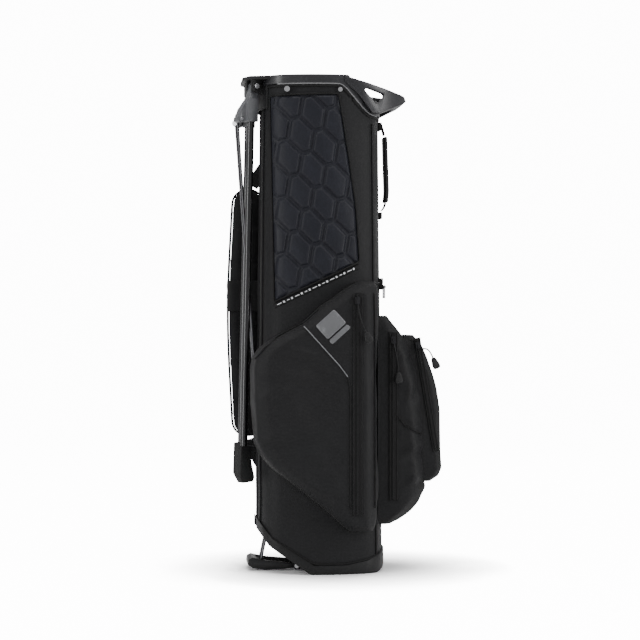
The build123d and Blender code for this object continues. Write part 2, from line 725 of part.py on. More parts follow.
# Zips: a straight tape, a slider that runs along it, a pull cord and a grip
def zip_set(name, top, low, face_y, tape_half):
    """Make one zip on a flat face. top and low are the tape's ends, as x and z."""
    run = Vector(low[0] - top[0], 0, low[1] - top[1])
    along = run.normalized()
    across = Vector(-along.Z, 0, along.X)
    frame = Plane(origin=(top[0], face_y, top[1]), x_dir=across, z_dir=(0, -1, 0))
    down = -1.0 if frame.y_dir.dot(along) < 0 else 1.0
    with BuildPart() as tape:
        with BuildSketch(frame.offset(seat_gap)):
            with Locations((0, down * run.length / 2)):
                Rectangle(2 * tape_half, run.length)
        extrude(amount=1.4)
        with BuildSketch(frame.offset(1.4 + seat_gap)):
            with Locations((0, down * run.length / 2)):
                Rectangle(3.6, run.length - 4.0)
        extrude(amount=0.9)
    keep(tape.part, name + "_zip_tape")
    with BuildPart() as slider:
        with BuildSketch(frame.offset(2.4 + free_gap)) as body:
            with Locations((0, down * 14.0)):
                Rectangle(8.5, 13.0)
            fillet(body.vertices(), radius=2.5)
        extrude(amount=2.0)
        with BuildSketch(frame.offset(4.4 + free_gap)) as bridge:
            with Locations((0, down * 15.5)):
                Rectangle(3.4, 10.0)
        extrude(amount=2.6)
    keep(slider.part, name + "_slider")
    return frame, down


cord_bend_share = 0.45


def smooth_path(points):
    """Straight runs joined by tangent arcs."""
    radii = []
    for before, here, after in zip(points, points[1:], points[2:]):
        first = Vector(*here) - Vector(*before)
        second = Vector(*after) - Vector(*here)
        turn = radians(first.get_angle(second))
        shorter = min(first.length, second.length)
        radii.append(cord_bend_share * shorter / tan(turn / 2))
    print("cord radii", [round(radius, 1) for radius in radii])
    with BuildLine() as path:
        FilletPolyline(*points, radius=radii)
    return path.line


def pull_set(name, start, steps, grip_size):
    """Cord from a slider to its grip. steps are moves from one point to the next."""
    points = [start]
    for move in steps:
        here = points[-1]
        points.append((here[0] + move[0], here[1] + move[1], here[2] + move[2]))
    line = smooth_path(points)
    cord_length = sum(edge.length for edge in line.edges())
    print(name, "pull cord length", round(cord_length, 1))
    with BuildPart() as cord:
        with BuildSketch(Plane(origin=line @ 0, z_dir=line % 0)):
            Circle(cord_radius)
        sweep(path=line)
    keep(cord.part, name + "_pull_cord")
    end = points[-1]
    direction = (Vector(*points[-1]) - Vector(*points[-2])).normalized()
    with BuildPart() as grip:
        grip_plane = Plane(origin=Vector(*end) + direction * seat_gap, x_dir=(0, 1, 0), z_dir=direction)
        with BuildSketch(grip_plane) as low_face:
            Rectangle(grip_size[1], grip_size[0] * 0.7)
            fillet(low_face.vertices(), radius=1.5)
        with BuildSketch(grip_plane.offset(grip_size[2])) as high_face:
            Rectangle(grip_size[1], grip_size[0])
            fillet(high_face.vertices(), radius=1.5)
        loft(ruled=True)
    keep(grip.part, name + "_pull_grip")
    return points


apparel_face = -(base_half_y + pocket_depth)
apparel_zip_x = 57.0 * x_scale
zip_set("apparel", (apparel_zip_x, 500.0 * z_scale), (apparel_zip_x, 108.0 * z_scale), apparel_face, 7.0)
apparel_cord = pull_set(
    "apparel",
    (apparel_zip_x, apparel_face - 8.0, 500.0 * z_scale - 21.5),
    [(2.0, -1.0, -15.0), (5.0, -0.5, -17.0), (7.0, 0.5, -16.0)],
    (14.0, 5.0, 20.0),
)
ball_zip_x = base_half_x + 12.0
zip_set("ball", (ball_zip_x, 430.0 * z_scale), (ball_zip_x, 128.0 * z_scale), -ball_half, 6.0)
ball_cord = pull_set(
    "ball",
    (ball_zip_x, -ball_half - 8.0, 430.0 * z_scale - 21.5),
    [(3.0, -1.0, -15.0), (4.0, -0.5, -17.0), (1.0, 0.5, -18.0)],
    (14.0, 5.0, 20.0),
)
accessory_top = (base_half_x + 57.0 * ball_share, 420.0 * z_scale)
accessory_low = (base_half_x + 92.0 * ball_share, 215.0 * z_scale)
zip_set("accessory", accessory_top, accessory_low, -accessory_half, 4.0)
run_length = hypot(accessory_low[0] - accessory_top[0], accessory_low[1] - accessory_top[1])
slope_x = (accessory_low[0] - accessory_top[0]) / run_length
slope_z = (accessory_low[1] - accessory_top[1]) / run_length
accessory_cord = pull_set(
    "accessory",
    (accessory_top[0] + slope_x * 21.5, -accessory_half - 8.0, accessory_top[1] + slope_z * 21.5),
    [(8.0, -9.0, 3.0), (9.0, -6.0, -5.0), (5.0, -1.0, -12.0)],
    (12.0, 5.0, 22.0),
)

# Trim on the near side
quilt_outline = scaled([(-93.0, 852.0), (-86.0, 484.0), (66.0, 556.0), (60.0, 655.0), (29.0, 855.0)])
with BuildPart() as quilted_panel:
    add(envelope(-2.6))
    add(wide_tube, mode=Mode.SUBTRACT)
    add(side_prism(quilt_outline, -far_out, 0.0, rounding=6.0), mode=Mode.INTERSECT)
keep(quilted_panel.part, "quilted_panel")

tape_outline = scaled([(-86.0, 480.5), (-86.0, 471.5), (66.0, 543.5), (66.0, 552.5)])
with BuildPart() as trim_tape:
    add(envelope(-1.3))
    add(wide_tube, mode=Mode.SUBTRACT)
    add(side_prism(tape_outline, -far_out, 0.0), mode=Mode.INTERSECT)
keep(trim_tape.part, "trim_tape")

top_side = half_size(857.0 * z_scale, base_half_y, top_half_y)
with BuildPart() as panel_rivets:
    for rivet_x, rivet_radius in ((-64.0 * x_scale, 5.0), (31.0 * x_scale, 4.0)):
        with BuildSketch(Plane.XZ.offset(top_side - side_bow + 3.0)):
            with Locations((rivet_x, 862.0 * z_scale)):
                Circle(rivet_radius)
        extrude(amount=9.0)
    add(envelope(-seat_gap), mode=Mode.SUBTRACT)
keep(panel_rivets.part, "panel_rivets")

emblem_centre = (14.0 * x_scale, 440.0 * z_scale)
patch_half = 22.0
patch_along = (0.669, -0.743)


def patch_outline(start, finish):
    """Part of the square patch between two lengths along its slanted side."""
    step_x, step_z = patch_along
    corners = [(start, -patch_half), (finish, -patch_half), (finish, patch_half), (start, patch_half)]
    return [
        (emblem_centre[0] + s * step_x - t * step_z, emblem_centre[1] + s * step_z + t * step_x) for s, t in corners
    ]


with BuildPart() as emblem_patch:
    for start, finish in ((-patch_half, patch_half - 12.0), (patch_half - 9.0, patch_half)):
        outline = patch_outline(start, finish)
        add(side_prism(outline, apparel_face - seat_gap - 0.8, apparel_face - seat_gap, rounding=2.5))
keep(emblem_patch.part, "emblem_patch")

# Lift strap down the back, and a small hanging ring
back_top = half_size(740.0 * z_scale, base_half_x, top_half_x)
sleeve_low = bag_height - 222.0
sleeve_high = bag_height - 102.0
back_low = half_size(sleeve_low - 16.0, base_half_x, top_half_x)
with BuildPart() as lift_sleeve:
    sleeve_outline = [
        (back_top + 8.5, sleeve_high),
        (back_top + 15.5, sleeve_high),
        (back_top + 19.0, sleeve_low + 20.0),
        (back_top + 17.0, sleeve_low),
        (back_top + 10.0, sleeve_low),
        (back_top + 11.5, sleeve_low + 20.0),
    ]
    add(side_prism(sleeve_outline, -17.0, 17.0))
keep(lift_sleeve.part, "lift_sleeve")
with BuildPart() as lift_webbing:
    upper = [
        (top_half_x + 3.2, bag_height - 71.0),
        (top_half_x + 5.2, bag_height - 71.0),
        (back_top + 13.5, sleeve_high + seat_gap),
        (back_top + 10.5, sleeve_high + seat_gap),
        (top_half_x + 3.2, bag_height - 76.0),
    ]
    add(side_prism(upper, -13.0, 13.0))
    lower = [
        (back_top + 12.0, sleeve_low - seat_gap),
        (back_top + 15.0, sleeve_low - seat_gap),
        (back_low + 6.2, sleeve_low - 16.0),
        (back_low + 1.4, sleeve_low - 18.0),
        (back_low + 1.4, sleeve_low - 14.0),
    ]
    add(side_prism(lower, -13.0, 13.0))
keep(lift_webbing.part, "lift_webbing")
with BuildPart() as lift_anchors:
    add(block(back_low - 0.6, back_low + 5.2, -16.0, 16.0, sleeve_low - 30.0, sleeve_low - 18.2))
    add(block(back_top - 4.0, top_half_x + 6.0, -16.0, 16.0, bag_height - 90.0, bag_height - 76.2))
    add(envelope(-seat_gap), mode=Mode.SUBTRACT)
    add(lift_webbing.part, mode=Mode.SUBTRACT)
keep(lift_anchors.part, "lift_anchors")

ring_y = -36.0 * y_scale
ring_z = 512.0 * z_scale
ring_x = half_size(ring_z, base_half_x, top_half_x) + 4.6
ring_wire = 1.5
with BuildPart() as ring_tab:
    add(block(ring_x - 14.0, ring_x - 2.0, ring_y - 7.0, ring_y + 7.0, ring_z - 5.0, ring_z + 16.0))
    add(rod_y(ring_x, ring_z, 3.2, ring_y - 7.0, ring_y + 7.0))
    add(block(ring_x - 6.0, ring_x, ring_y - 7.0, ring_y + 7.0, ring_z, ring_z + 3.2))
    add(rod_y(ring_x, ring_z, ring_wire + running_gap, ring_y - 9.0, ring_y + 9.0), mode=Mode.SUBTRACT)
    add(envelope(-seat_gap), mode=Mode.SUBTRACT)
keep(ring_tab.part, "ring_tab")
with BuildPart() as tab_ring:
    ring_half = 10.0
    ring_drop = 19.0
    add(rod_y(ring_x, ring_z, ring_wire, ring_y - ring_half - ring_wire, ring_y + ring_half + ring_wire))
    for side in (-1, 1):
        with BuildSketch(Plane.XY.offset(ring_z)):
            with Locations((ring_x, ring_y + side * ring_half)):
                Circle(ring_wire * 0.94)
        extrude(amount=-ring_drop)
    low_y = ring_y - ring_half - ring_wire
    add(rod_y(ring_x, ring_z - ring_drop, ring_wire, low_y, ring_y + ring_half + ring_wire))
keep(tab_ring.part, "tab_ring")

# Straps and pads on the far side
side_wall = base_half_y + 1.0
with BuildPart() as hip_pad:
    add(block(-48.0, 44.0, side_wall - 30.0, side_wall + 24.0, 400.0 * z_scale, 590.0 * z_scale, rounding=10.0))
    add(envelope(-0.4), mode=Mode.SUBTRACT)
keep(hip_pad.part, "hip_pad")

pad_low = 232.0 * z_scale
pad_high = 700.0 * z_scale
pad_y = side_wall + 22.0
front_pad_x = -(base_half_x + 4.0)
back_pad_x = base_half_x * 0.72
with BuildPart() as shoulder_pad_front:
    add(block(front_pad_x - 32.0, front_pad_x + 32.0, pad_y - 13.0, pad_y + 13.0, pad_low, pad_high, rounding=10.0))
keep(shoulder_pad_front.part, "shoulder_pad_front")
with BuildPart() as shoulder_pad_back:
    add(block(back_pad_x - 32.0, back_pad_x + 32.0, pad_y - 13.0, pad_y + 13.0, pad_low, pad_high, rounding=10.0))
keep(shoulder_pad_back.part, "shoulder_pad_back")

keeper_z = 497.0 * z_scale
with BuildPart() as pad_keeper:
    add(block(front_pad_x - 34.5, front_pad_x + 34.5, pad_y - 15.5, pad_y + 15.5, keeper_z - 29.0, keeper_z + 29.0))
    inner_room = block(
        front_pad_x - 32.2, front_pad_x + 32.2, pad_y - 13.2, pad_y + 13.2, keeper_z - 40.0, keeper_z + 40.0
    )
    add(inner_room, mode=Mode.SUBTRACT)
keep(pad_keeper.part, "pad_keeper")

hub_z = 800.0 * z_scale
hub_y = half_size(hub_z, base_half_y, top_half_y)
with BuildPart() as strap_hub:
    add(block(-40.0, 40.0, hub_y - 20.0, hub_y + 8.0, hub_z - 16.0, hub_z + 16.0, rounding=5.0))
    add(envelope(-seat_gap), mode=Mode.SUBTRACT)
keep(strap_hub.part, "strap_hub")


def strap(start, finish, width, thickness):
    """Flat webbing between two points, its width lying along X or Z."""
    line = Vector(*finish) - Vector(*start)
    flat = Vector(0, 1, 0).cross(line).normalized()
    with BuildPart() as webbing:
        with BuildSketch(Plane(origin=start, x_dir=flat, z_dir=line)):
            Rectangle(width, thickness)
        extrude(amount=line.length)
    return webbing.part


hub_face = hub_y + 8.0
foot_anchor_y = side_wall + 3.0
with BuildPart() as strap_webbing:
    for pad_x, hub_x in ((front_pad_x, -26.0), (back_pad_x, 26.0)):
        upper_start = (hub_x, hub_face + 3.0, hub_z)
        add(strap(upper_start, (pad_x, pad_y, pad_high + 10.0), 25.0, 2.0))
        foot_x_place = pad_x * 0.55
        add(strap((pad_x, pad_y, pad_low - 10.0), (foot_x_place, foot_anchor_y, 150.0 * z_scale), 25.0, 2.0))
keep(strap_webbing.part, "strap_webbing")
with BuildPart() as strap_anchors:
    for pad_x in (front_pad_x, back_pad_x):
        anchor_x = pad_x * 0.55
        low_z = 150.0 * z_scale
        add(block(anchor_x - 16.0, anchor_x + 16.0, side_wall - 25.0, side_wall + 5.0, low_z - 22.0, low_z - 9.5))
    add(envelope(-tub_wall - 2 * seat_gap), mode=Mode.SUBTRACT)
keep(strap_anchors.part, "strap_anchors")
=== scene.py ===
"""Golf stand bag: fabric, moulded parts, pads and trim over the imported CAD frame.

Lengths are in metres. +Z is up, -X is the leg side, +X the ball pocket side,
-Y the side with the clothing pocket and +Y the side with the carry straps.
"""

import logging
import math
from dataclasses import dataclass, field
from enum import Enum
from typing import Callable, Dict, List, Optional, Sequence, Tuple

import bmesh
import bpy
import numpy as np
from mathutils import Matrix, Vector


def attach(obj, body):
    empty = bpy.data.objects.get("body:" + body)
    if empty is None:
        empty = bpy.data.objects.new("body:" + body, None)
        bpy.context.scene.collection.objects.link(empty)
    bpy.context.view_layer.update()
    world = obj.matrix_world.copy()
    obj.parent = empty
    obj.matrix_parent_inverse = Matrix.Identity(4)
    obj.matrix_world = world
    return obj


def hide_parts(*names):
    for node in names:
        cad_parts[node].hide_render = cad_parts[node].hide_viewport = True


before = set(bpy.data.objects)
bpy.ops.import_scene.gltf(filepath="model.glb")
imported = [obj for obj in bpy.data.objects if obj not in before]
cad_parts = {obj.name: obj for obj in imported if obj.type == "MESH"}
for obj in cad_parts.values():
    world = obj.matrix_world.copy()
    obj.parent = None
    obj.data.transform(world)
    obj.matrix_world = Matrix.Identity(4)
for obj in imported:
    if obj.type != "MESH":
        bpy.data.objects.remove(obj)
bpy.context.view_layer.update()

log = logging.getLogger("stand_bag")
logging.basicConfig(level=logging.INFO, format="%(message)s")

Colour = Tuple[float, float, float]
Point = Tuple[float, float, float]


class Finish(Enum):
    """The families of surface found on the bag."""

    RIPSTOP = "ripstop"
    QUILT = "quilt"
    MESH = "mesh"
    WEBBING = "webbing"
    MOULDED = "moulded"
    RUBBER = "rubber"
    ANODISED = "anodised"
    STEEL = "steel"
    PAINTED = "painted"
    FILM = "film"


@dataclass(frozen=True)
class Look:
    """One finish with its colour, gloss and texture sizes."""

    name: str
    family: Finish
    colour: Colour
    roughness: float = 0.6
    bump: float = 0.3
    pitch: float = 0.0012
    metallic: float = 0.0
    coat: float = 0.0
    sheen: float = 0.0
    wear: float = 0.2
    specular: float = 0.5
    on_uv: bool = False


CLOTH = {"specular": 0.20, "sheen": 0.02, "on_uv": True}
SHELL = Look("shell_ripstop", Finish.RIPSTOP, (0.0052, 0.0053, 0.0060), 0.58, 0.30, 0.0016, **CLOTH)
POCKET = Look("pocket_ripstop", Finish.RIPSTOP, (0.0044, 0.0044, 0.0050), 0.58, 0.30, 0.0016, **CLOTH)
QUILT = Look(
    "quilt_softshell",
    Finish.QUILT,
    (0.0058, 0.0064, 0.0105),
    0.48,
    0.15,
    0.0009,
    specular=0.22,
    sheen=0.02,
    on_uv=True,
)
PAD = Look("pad_mesh", Finish.MESH, (0.0040, 0.0040, 0.0045), 0.75, 0.40, 0.0022, specular=0.15, sheen=0.03)
WEB = Look(
    "strap_webbing_weave",
    Finish.WEBBING,
    (0.0040, 0.0040, 0.0044),
    0.60,
    0.50,
    0.0019,
    specular=0.20,
    on_uv=True,
)
DIVIDER = Look("divider_cloth", Finish.MESH, (0.012, 0.012, 0.013), 0.80, 0.30, 0.0018, specular=0.20)
FRAME = Look("frame_moulding", Finish.MOULDED, (0.010, 0.010, 0.012), 0.34, 0.10, 0.0011, wear=0.35)
TUB = Look(
    "tub_moulding", Finish.MOULDED, (0.0042, 0.0042, 0.0045), 0.48, 0.15, 0.0011, wear=0.5, specular=0.25
)
BRACKET = Look(
    "bracket_moulding", Finish.MOULDED, (0.0050, 0.0050, 0.0055), 0.35, 0.10, 0.0011, wear=0.3, specular=0.35
)
LEG_GREY = Look("leg_head_grey", Finish.MOULDED, (0.064, 0.066, 0.071), 0.32, 0.06, 0.0011, coat=0.3)
TUBE = Look(
    "leg_tube_black", Finish.ANODISED, (0.010, 0.010, 0.011), 0.14, 0.02, 0.0009, metallic=0.6, coat=0.8
)
RUBBER = Look("foot_rubber", Finish.RUBBER, (0.0045, 0.0045, 0.0047), 0.60, 0.25, 0.0014, specular=0.30)
GRIP = Look("grip_rubber", Finish.RUBBER, (0.0045, 0.0045, 0.0048), 0.50, 0.20, 0.0012, specular=0.30)
ROD = Look("rod_steel", Finish.STEEL, (0.10, 0.10, 0.105), 0.30, 0.05, 0.0007, metallic=1.0)
PIN = Look("pin_steel", Finish.STEEL, (0.55, 0.55, 0.57), 0.24, 0.04, 0.0007, metallic=1.0)
STAY = Look("stay_glassfibre", Finish.MOULDED, (0.30, 0.30, 0.28), 0.50, 0.08, 0.0010)
SLIDER = Look("slider_gunmetal", Finish.PAINTED, (0.020, 0.020, 0.022), 0.32, 0.05, 0.0008, metallic=0.7)
TOOTH = Look("zip_coil", Finish.MOULDED, (0.0030, 0.0030, 0.0034), 0.42, 0.05, 0.0006, specular=0.35)
FILM = Look(
    "patch_film", Finish.FILM, (0.110, 0.112, 0.118), 0.30, 0.06, 0.0040, metallic=0.35, coat=0.5, wear=0.5
)
PIPING = Look("silver_piping", Finish.FILM, (0.11, 0.113, 0.12), 0.35, 0.08, 0.0010)
# Painted highlight: light colour for a thin rope under the collar's edge, standing in for the light that the
# flange's edge catches.
COLLAR_EDGE_HIGHLIGHT = Look("collar_edge_painted_highlight", Finish.MOULDED, (0.10, 0.10, 0.105), 0.26, 0.05, 0.0010, coat=0.4)
WEB_PLAIN = Look("binding_weave", Finish.WEBBING, (0.0028, 0.0028, 0.0031), 0.60, 0.40, 0.0014, specular=0.20)
THREAD = Look("sewing_thread", Finish.WEBBING, (0.0060, 0.0060, 0.0066), 0.50, 0.20, 0.0008, specular=0.30)
MARK = Look("printed_mark", Finish.FILM, (0.62, 0.63, 0.65), 0.50, 0.05, 0.0012, wear=0.4)
CORD = Look("pull_cord_braid", Finish.WEBBING, (0.0035, 0.0035, 0.0039), 0.55, 0.40, 0.0011, specular=0.25)

MIX_FACTOR, MIX_A, MIX_B, MIX_OUT = 0, 6, 7, 2
TEXTURE_RISE = 0.0006
COAT_ROUGHNESS = 0.2
SHEEN_ROUGHNESS = 0.5
SLOW_SHADE_SCALE = 7.0
RIPSTOP_GRID = 4.0
NEAR_WAY = (0.0, -1.0, 0.0)
FAR_WAY = (0.0, 1.0, 0.0)
BACK_WAY = (1.0, 0.0, 0.0)


class Socket(Enum):
    """Kinds of node group socket."""

    NUMBER = "NodeSocketFloat"
    COLOUR = "NodeSocketColor"
    VECTOR = "NodeSocketVector"


class Effects:
    """Shader node groups shared by the materials, each made once."""

    def __init__(self) -> None:
        """Make every group."""
        self.weave = self._weave()
        self.grain = self._grain()
        self.wear = self._wear()
        self.cloud = self._cloud()

    def _group(self, name: str, inputs: Dict[str, Tuple[Socket, float]], outputs: Dict[str, Socket]):
        """Start a node group.

        Args:
            name: the group's name.
            inputs: socket name to its kind and starting value.
            outputs: socket name to its kind.

        Returns:
            The tree, its input node and its output node.
        """
        tree = bpy.data.node_groups.new(name, "ShaderNodeTree")
        for key, (kind, value) in inputs.items():
            socket = tree.interface.new_socket(key, in_out="INPUT", socket_type=kind.value)
            if kind is Socket.NUMBER:
                socket.default_value = value
        for key, kind in outputs.items():
            tree.interface.new_socket(key, in_out="OUTPUT", socket_type=kind.value)
        return tree, tree.nodes.new("NodeGroupInput"), tree.nodes.new("NodeGroupOutput")

    @staticmethod
    def _math(tree, kind: str, first, second=None):
        """Add a Math node fed by sockets or numbers and return its output."""
        node = tree.nodes.new("ShaderNodeMath")
        node.operation = kind
        for index, value in enumerate((first, second)):
            if value is None:
                continue
            if isinstance(value, (int, float)):
                node.inputs[index].default_value = value
            else:
                tree.links.new(value, node.inputs[index])
        return node.outputs[0]

    @staticmethod
    def _noise(tree, vector, **values: float):
        """Add a noise texture on a vector, with values for its inputs, and return the node."""
        node = tree.nodes.new("ShaderNodeTexNoise")
        for key, value in values.items():
            node.inputs[key].default_value = value
        tree.links.new(vector, node.inputs["Vector"])
        return node

    @staticmethod
    def _range(tree, value, low: float, high: float, to_low: float = 0.0, to_high: float = 1.0):
        """Map a value from one range to another, clamped, and return the result's socket."""
        node = tree.nodes.new("ShaderNodeMapRange")
        for key, number in (("From Min", low), ("From Max", high), ("To Min", to_low), ("To Max", to_high)):
            node.inputs[key].default_value = number
        tree.links.new(value, node.inputs["Value"])
        return node.outputs["Result"]

    def _weave(self):
        """Plain weave: two crossed sine threads, each raised where the other dips."""
        tree, source, sink = self._group(
            "plain_weave",
            {"Vector": (Socket.VECTOR, 0.0), "Pitch": (Socket.NUMBER, 0.0015)},
            {"Height": Socket.NUMBER, "Gap": Socket.NUMBER},
        )
        split = tree.nodes.new("ShaderNodeSeparateXYZ")
        tree.links.new(source.outputs["Vector"], split.inputs[0])
        across = self._math(tree, "DIVIDE", split.outputs[0], source.outputs["Pitch"])
        along = self._math(tree, "DIVIDE", split.outputs[1], source.outputs["Pitch"])
        wave_a = self._math(tree, "SINE", self._math(tree, "MULTIPLY", across, math.pi))
        wave_b = self._math(tree, "SINE", self._math(tree, "MULTIPLY", along, math.pi))
        crossed = self._math(tree, "MULTIPLY", wave_a, wave_b)
        height = self._math(tree, "MULTIPLY", self._math(tree, "ADD", crossed, 1.0), 0.5)
        edge_a = self._math(tree, "ABSOLUTE", wave_a)
        edge_b = self._math(tree, "ABSOLUTE", wave_b)
        gap = self._math(tree, "MINIMUM", edge_a, edge_b)
        tree.links.new(height, sink.inputs["Height"])
        tree.links.new(gap, sink.inputs["Gap"])
        return tree

    def _grain(self):
        """Fine moulded grain: small rounded pits from noise."""
        tree, source, sink = self._group(
            "moulded_grain",
            {"Vector": (Socket.VECTOR, 0.0), "Pitch": (Socket.NUMBER, 0.001)},
            {"Height": Socket.NUMBER},
        )
        scale = self._math(tree, "DIVIDE", 1.0, source.outputs["Pitch"])
        noise = self._noise(tree, source.outputs["Vector"], Detail=3.0)
        tree.links.new(scale, noise.inputs["Scale"])
        tree.links.new(noise.outputs["Fac"], sink.inputs["Height"])
        return tree

    def _wear(self):
        """Scuffs: patches where a broad noise and a fine one are both high."""
        tree, source, sink = self._group(
            "patchy_scuffs",
            {"Vector": (Socket.VECTOR, 0.0), "Amount": (Socket.NUMBER, 0.3)},
            {"Mask": Socket.NUMBER},
        )
        broad = self._noise(tree, source.outputs["Vector"], Scale=28.0)
        fine = self._noise(tree, source.outputs["Vector"], Scale=260.0, Detail=4.0)
        both = self._math(tree, "MULTIPLY", broad.outputs["Fac"], fine.outputs["Fac"])
        mask = self._math(tree, "MULTIPLY", self._range(tree, both, 0.27, 0.42), source.outputs["Amount"])
        tree.links.new(mask, sink.inputs["Mask"])
        return tree

    def _cloud(self):
        """Slow change of shade over the cloth, as from handling and light dust."""
        tree, source, sink = self._group(
            "slow_shade",
            {"Vector": (Socket.VECTOR, 0.0), "Scale": (Socket.NUMBER, 9.0)},
            {"Shade": Socket.NUMBER},
        )
        noise = self._noise(tree, source.outputs["Vector"], Detail=5.0, Roughness=0.6)
        tree.links.new(source.outputs["Scale"], noise.inputs["Scale"])
        tree.links.new(noise.outputs["Fac"], sink.inputs["Shade"])
        return tree


class Dresser:
    """Turns looks into materials and puts them on pieces."""

    def __init__(self, effects: Effects) -> None:
        """Keep the shared effects and start with no materials."""
        self.effects = effects
        self.made: Dict[str, bpy.types.Material] = {}

    def material(self, look: Look) -> bpy.types.Material:
        """The material for a look, made the first time it is asked for."""
        if look.name not in self.made:
            self.made[look.name] = self._make(look)
        return self.made[look.name]

    def dress(self, piece: bpy.types.Object, look: Look) -> None:
        """Give a piece one look all over."""
        if piece.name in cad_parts:
            for slot in piece.material_slots:
                slot.link = "OBJECT"
                slot.material = self.material(look)
            return
        piece.data.materials.clear()
        piece.data.materials.append(self.material(look))

    def _make(self, look: Look) -> bpy.types.Material:
        """Build the node tree of a look.

        Args:
            look: the finish to build.

        Returns:
            The new material.
        """
        material = bpy.data.materials.new(look.name)
        material.use_nodes = True
        tree = material.node_tree
        shader = tree.nodes["Principled BSDF"]
        for key, value in (
            ("Metallic", look.metallic),
            ("Coat Weight", look.coat),
            ("Specular IOR Level", look.specular),
            ("Coat Roughness", COAT_ROUGHNESS),
            ("Sheen Weight", look.sheen),
            ("Sheen Roughness", SHEEN_ROUGHNESS),
        ):
            shader.inputs[key].default_value = value
        place = tree.nodes.new("ShaderNodeTexCoord")
        solid = place.outputs["Object"]
        surface = place.outputs["UV"] if look.on_uv else solid
        if not look.on_uv and look.family in (Finish.WEBBING, Finish.MESH, Finish.RIPSTOP):
            turn = tree.nodes.new("ShaderNodeMapping")
            turn.inputs["Rotation"].default_value = (math.radians(90.0), 0.0, 0.0)
            tree.links.new(solid, turn.inputs["Vector"])
            surface = turn.outputs["Vector"]
        if look.family in (Finish.RIPSTOP, Finish.QUILT, Finish.MESH, Finish.WEBBING):
            height, gap = self._threads(tree, look, surface)
        else:
            height, gap = self._grains(tree, look, solid), None
        shade = self._placed(tree, self.effects.cloud, {"Scale": SLOW_SHADE_SCALE}, solid).outputs["Shade"]
        scuff = self._placed(tree, self.effects.wear, {"Amount": look.wear}, solid).outputs["Mask"]
        colour = self._tint(tree, look, shade, scuff, gap)
        tree.links.new(colour, shader.inputs["Base Color"])
        tree.links.new(self._gloss(tree, look, shade, scuff), shader.inputs["Roughness"])
        bump = tree.nodes.new("ShaderNodeBump")
        bump.inputs["Strength"].default_value = look.bump
        bump.inputs["Distance"].default_value = TEXTURE_RISE
        tree.links.new(height, bump.inputs["Height"])
        tree.links.new(bump.outputs["Normal"], shader.inputs["Normal"])
        return material

    @staticmethod
    def _placed(tree, group, values: Dict[str, float], vector):
        """Place a shared effect in a material with its own values."""
        node = tree.nodes.new("ShaderNodeGroup")
        node.node_tree = group
        for key, value in values.items():
            node.inputs[key].default_value = value
        tree.links.new(vector, node.inputs["Vector"])
        return node

    def _threads(self, tree, look: Look, surface):
        """Height and thread gaps of a cloth, with a ripstop grid on the shell cloths."""
        fine = self._placed(tree, self.effects.weave, {"Pitch": look.pitch}, surface)
        if look.family is not Finish.RIPSTOP:
            return fine.outputs["Height"], fine.outputs["Gap"]
        coarse = self._placed(tree, self.effects.weave, {"Pitch": look.pitch * RIPSTOP_GRID}, surface)
        cut = Effects._range(tree, coarse.outputs["Gap"], 0.0, 0.22, 0.9, 0.0)
        height = Effects._math(tree, "ADD", fine.outputs["Height"], cut)
        return height, fine.outputs["Gap"]

    def _grains(self, tree, look: Look, solid):
        """Height of a moulded, rubber or metal surface."""
        return self._placed(tree, self.effects.grain, {"Pitch": look.pitch}, solid).outputs["Height"]

    @staticmethod
    def _tint(tree, look: Look, shade, scuff, gap):
        """Colour that drifts with the slow shade, darkens between threads and pales at scuffs."""
        factor = Effects._range(tree, shade, 0.3, 0.7, 0.82, 1.2)
        if gap is not None:
            threads = Effects._range(tree, gap, 0.0, 0.5, 0.6, 1.05)
            factor = Effects._math(tree, "MULTIPLY", factor, threads)
        base = tree.nodes.new("ShaderNodeMix")
        base.data_type = "RGBA"
        base.inputs[MIX_A].default_value = tuple(c * 0.45 for c in look.colour) + (1.0,)
        base.inputs[MIX_B].default_value = tuple(min(1.0, c * 1.15) for c in look.colour) + (1.0,)
        tree.links.new(Effects._math(tree, "MULTIPLY", factor, 0.8), base.inputs[MIX_FACTOR])
        pale = tree.nodes.new("ShaderNodeMix")
        pale.data_type = "RGBA"
        pale.inputs[MIX_B].default_value = tuple(min(1.0, c * 1.9 + 0.002) for c in look.colour) + (1.0,)
        tree.links.new(base.outputs[MIX_OUT], pale.inputs[MIX_A])
        tree.links.new(scuff, pale.inputs[MIX_FACTOR])
        return pale.outputs[MIX_OUT]

    @staticmethod
    def _gloss(tree, look: Look, shade, scuff):
        """Roughness around the look's own, a little duller where scuffed."""
        dull = min(1.0, look.roughness + 0.07)
        own = Effects._range(tree, shade, 0.3, 0.7, max(0.05, look.roughness - 0.06), dull)
        return Effects._math(tree, "ADD", own, Effects._math(tree, "MULTIPLY", scuff, 0.18))


DRESS = Dresser(Effects())


# Surfaces worked out as whole arrays


def placed(name: str, data: bpy.types.ID) -> bpy.types.Object:
    """New object in the scene with the given data, at the origin."""
    piece = bpy.data.objects.new(name, data)
    bpy.context.scene.collection.objects.link(piece)
    return piece


def read_points(piece: bpy.types.Object, what: str = "co") -> np.ndarray:
    """A mesh's vertex places, or another three-number value of them, as rows."""
    flat = np.empty(len(piece.data.vertices) * 3, dtype=np.float32)
    piece.data.vertices.foreach_get(what, flat)
    return flat.reshape(-1, 3)


def write_points(piece: bpy.types.Object, points: np.ndarray) -> None:
    """Put a mesh's vertices at new places."""
    piece.data.vertices.foreach_set("co", points.reshape(-1))
    piece.data.update()


def shade_smooth(mesh: bpy.types.Mesh) -> None:
    """Shade every face of a mesh smoothly."""
    mesh.polygons.foreach_set("use_smooth", np.ones(len(mesh.polygons), dtype=bool))


def middle_line(z: np.ndarray, x: float = 0.0) -> np.ndarray:
    """Points on an upright line, one at the mean height of each row."""
    return np.stack([np.full(len(z), x), np.zeros(len(z)), z.mean(axis=1)], axis=1)


def facing(way: Point, count: int) -> np.ndarray:
    """The same direction repeated for a number of points."""
    return np.tile(np.array([way], dtype=float), (count, 1))


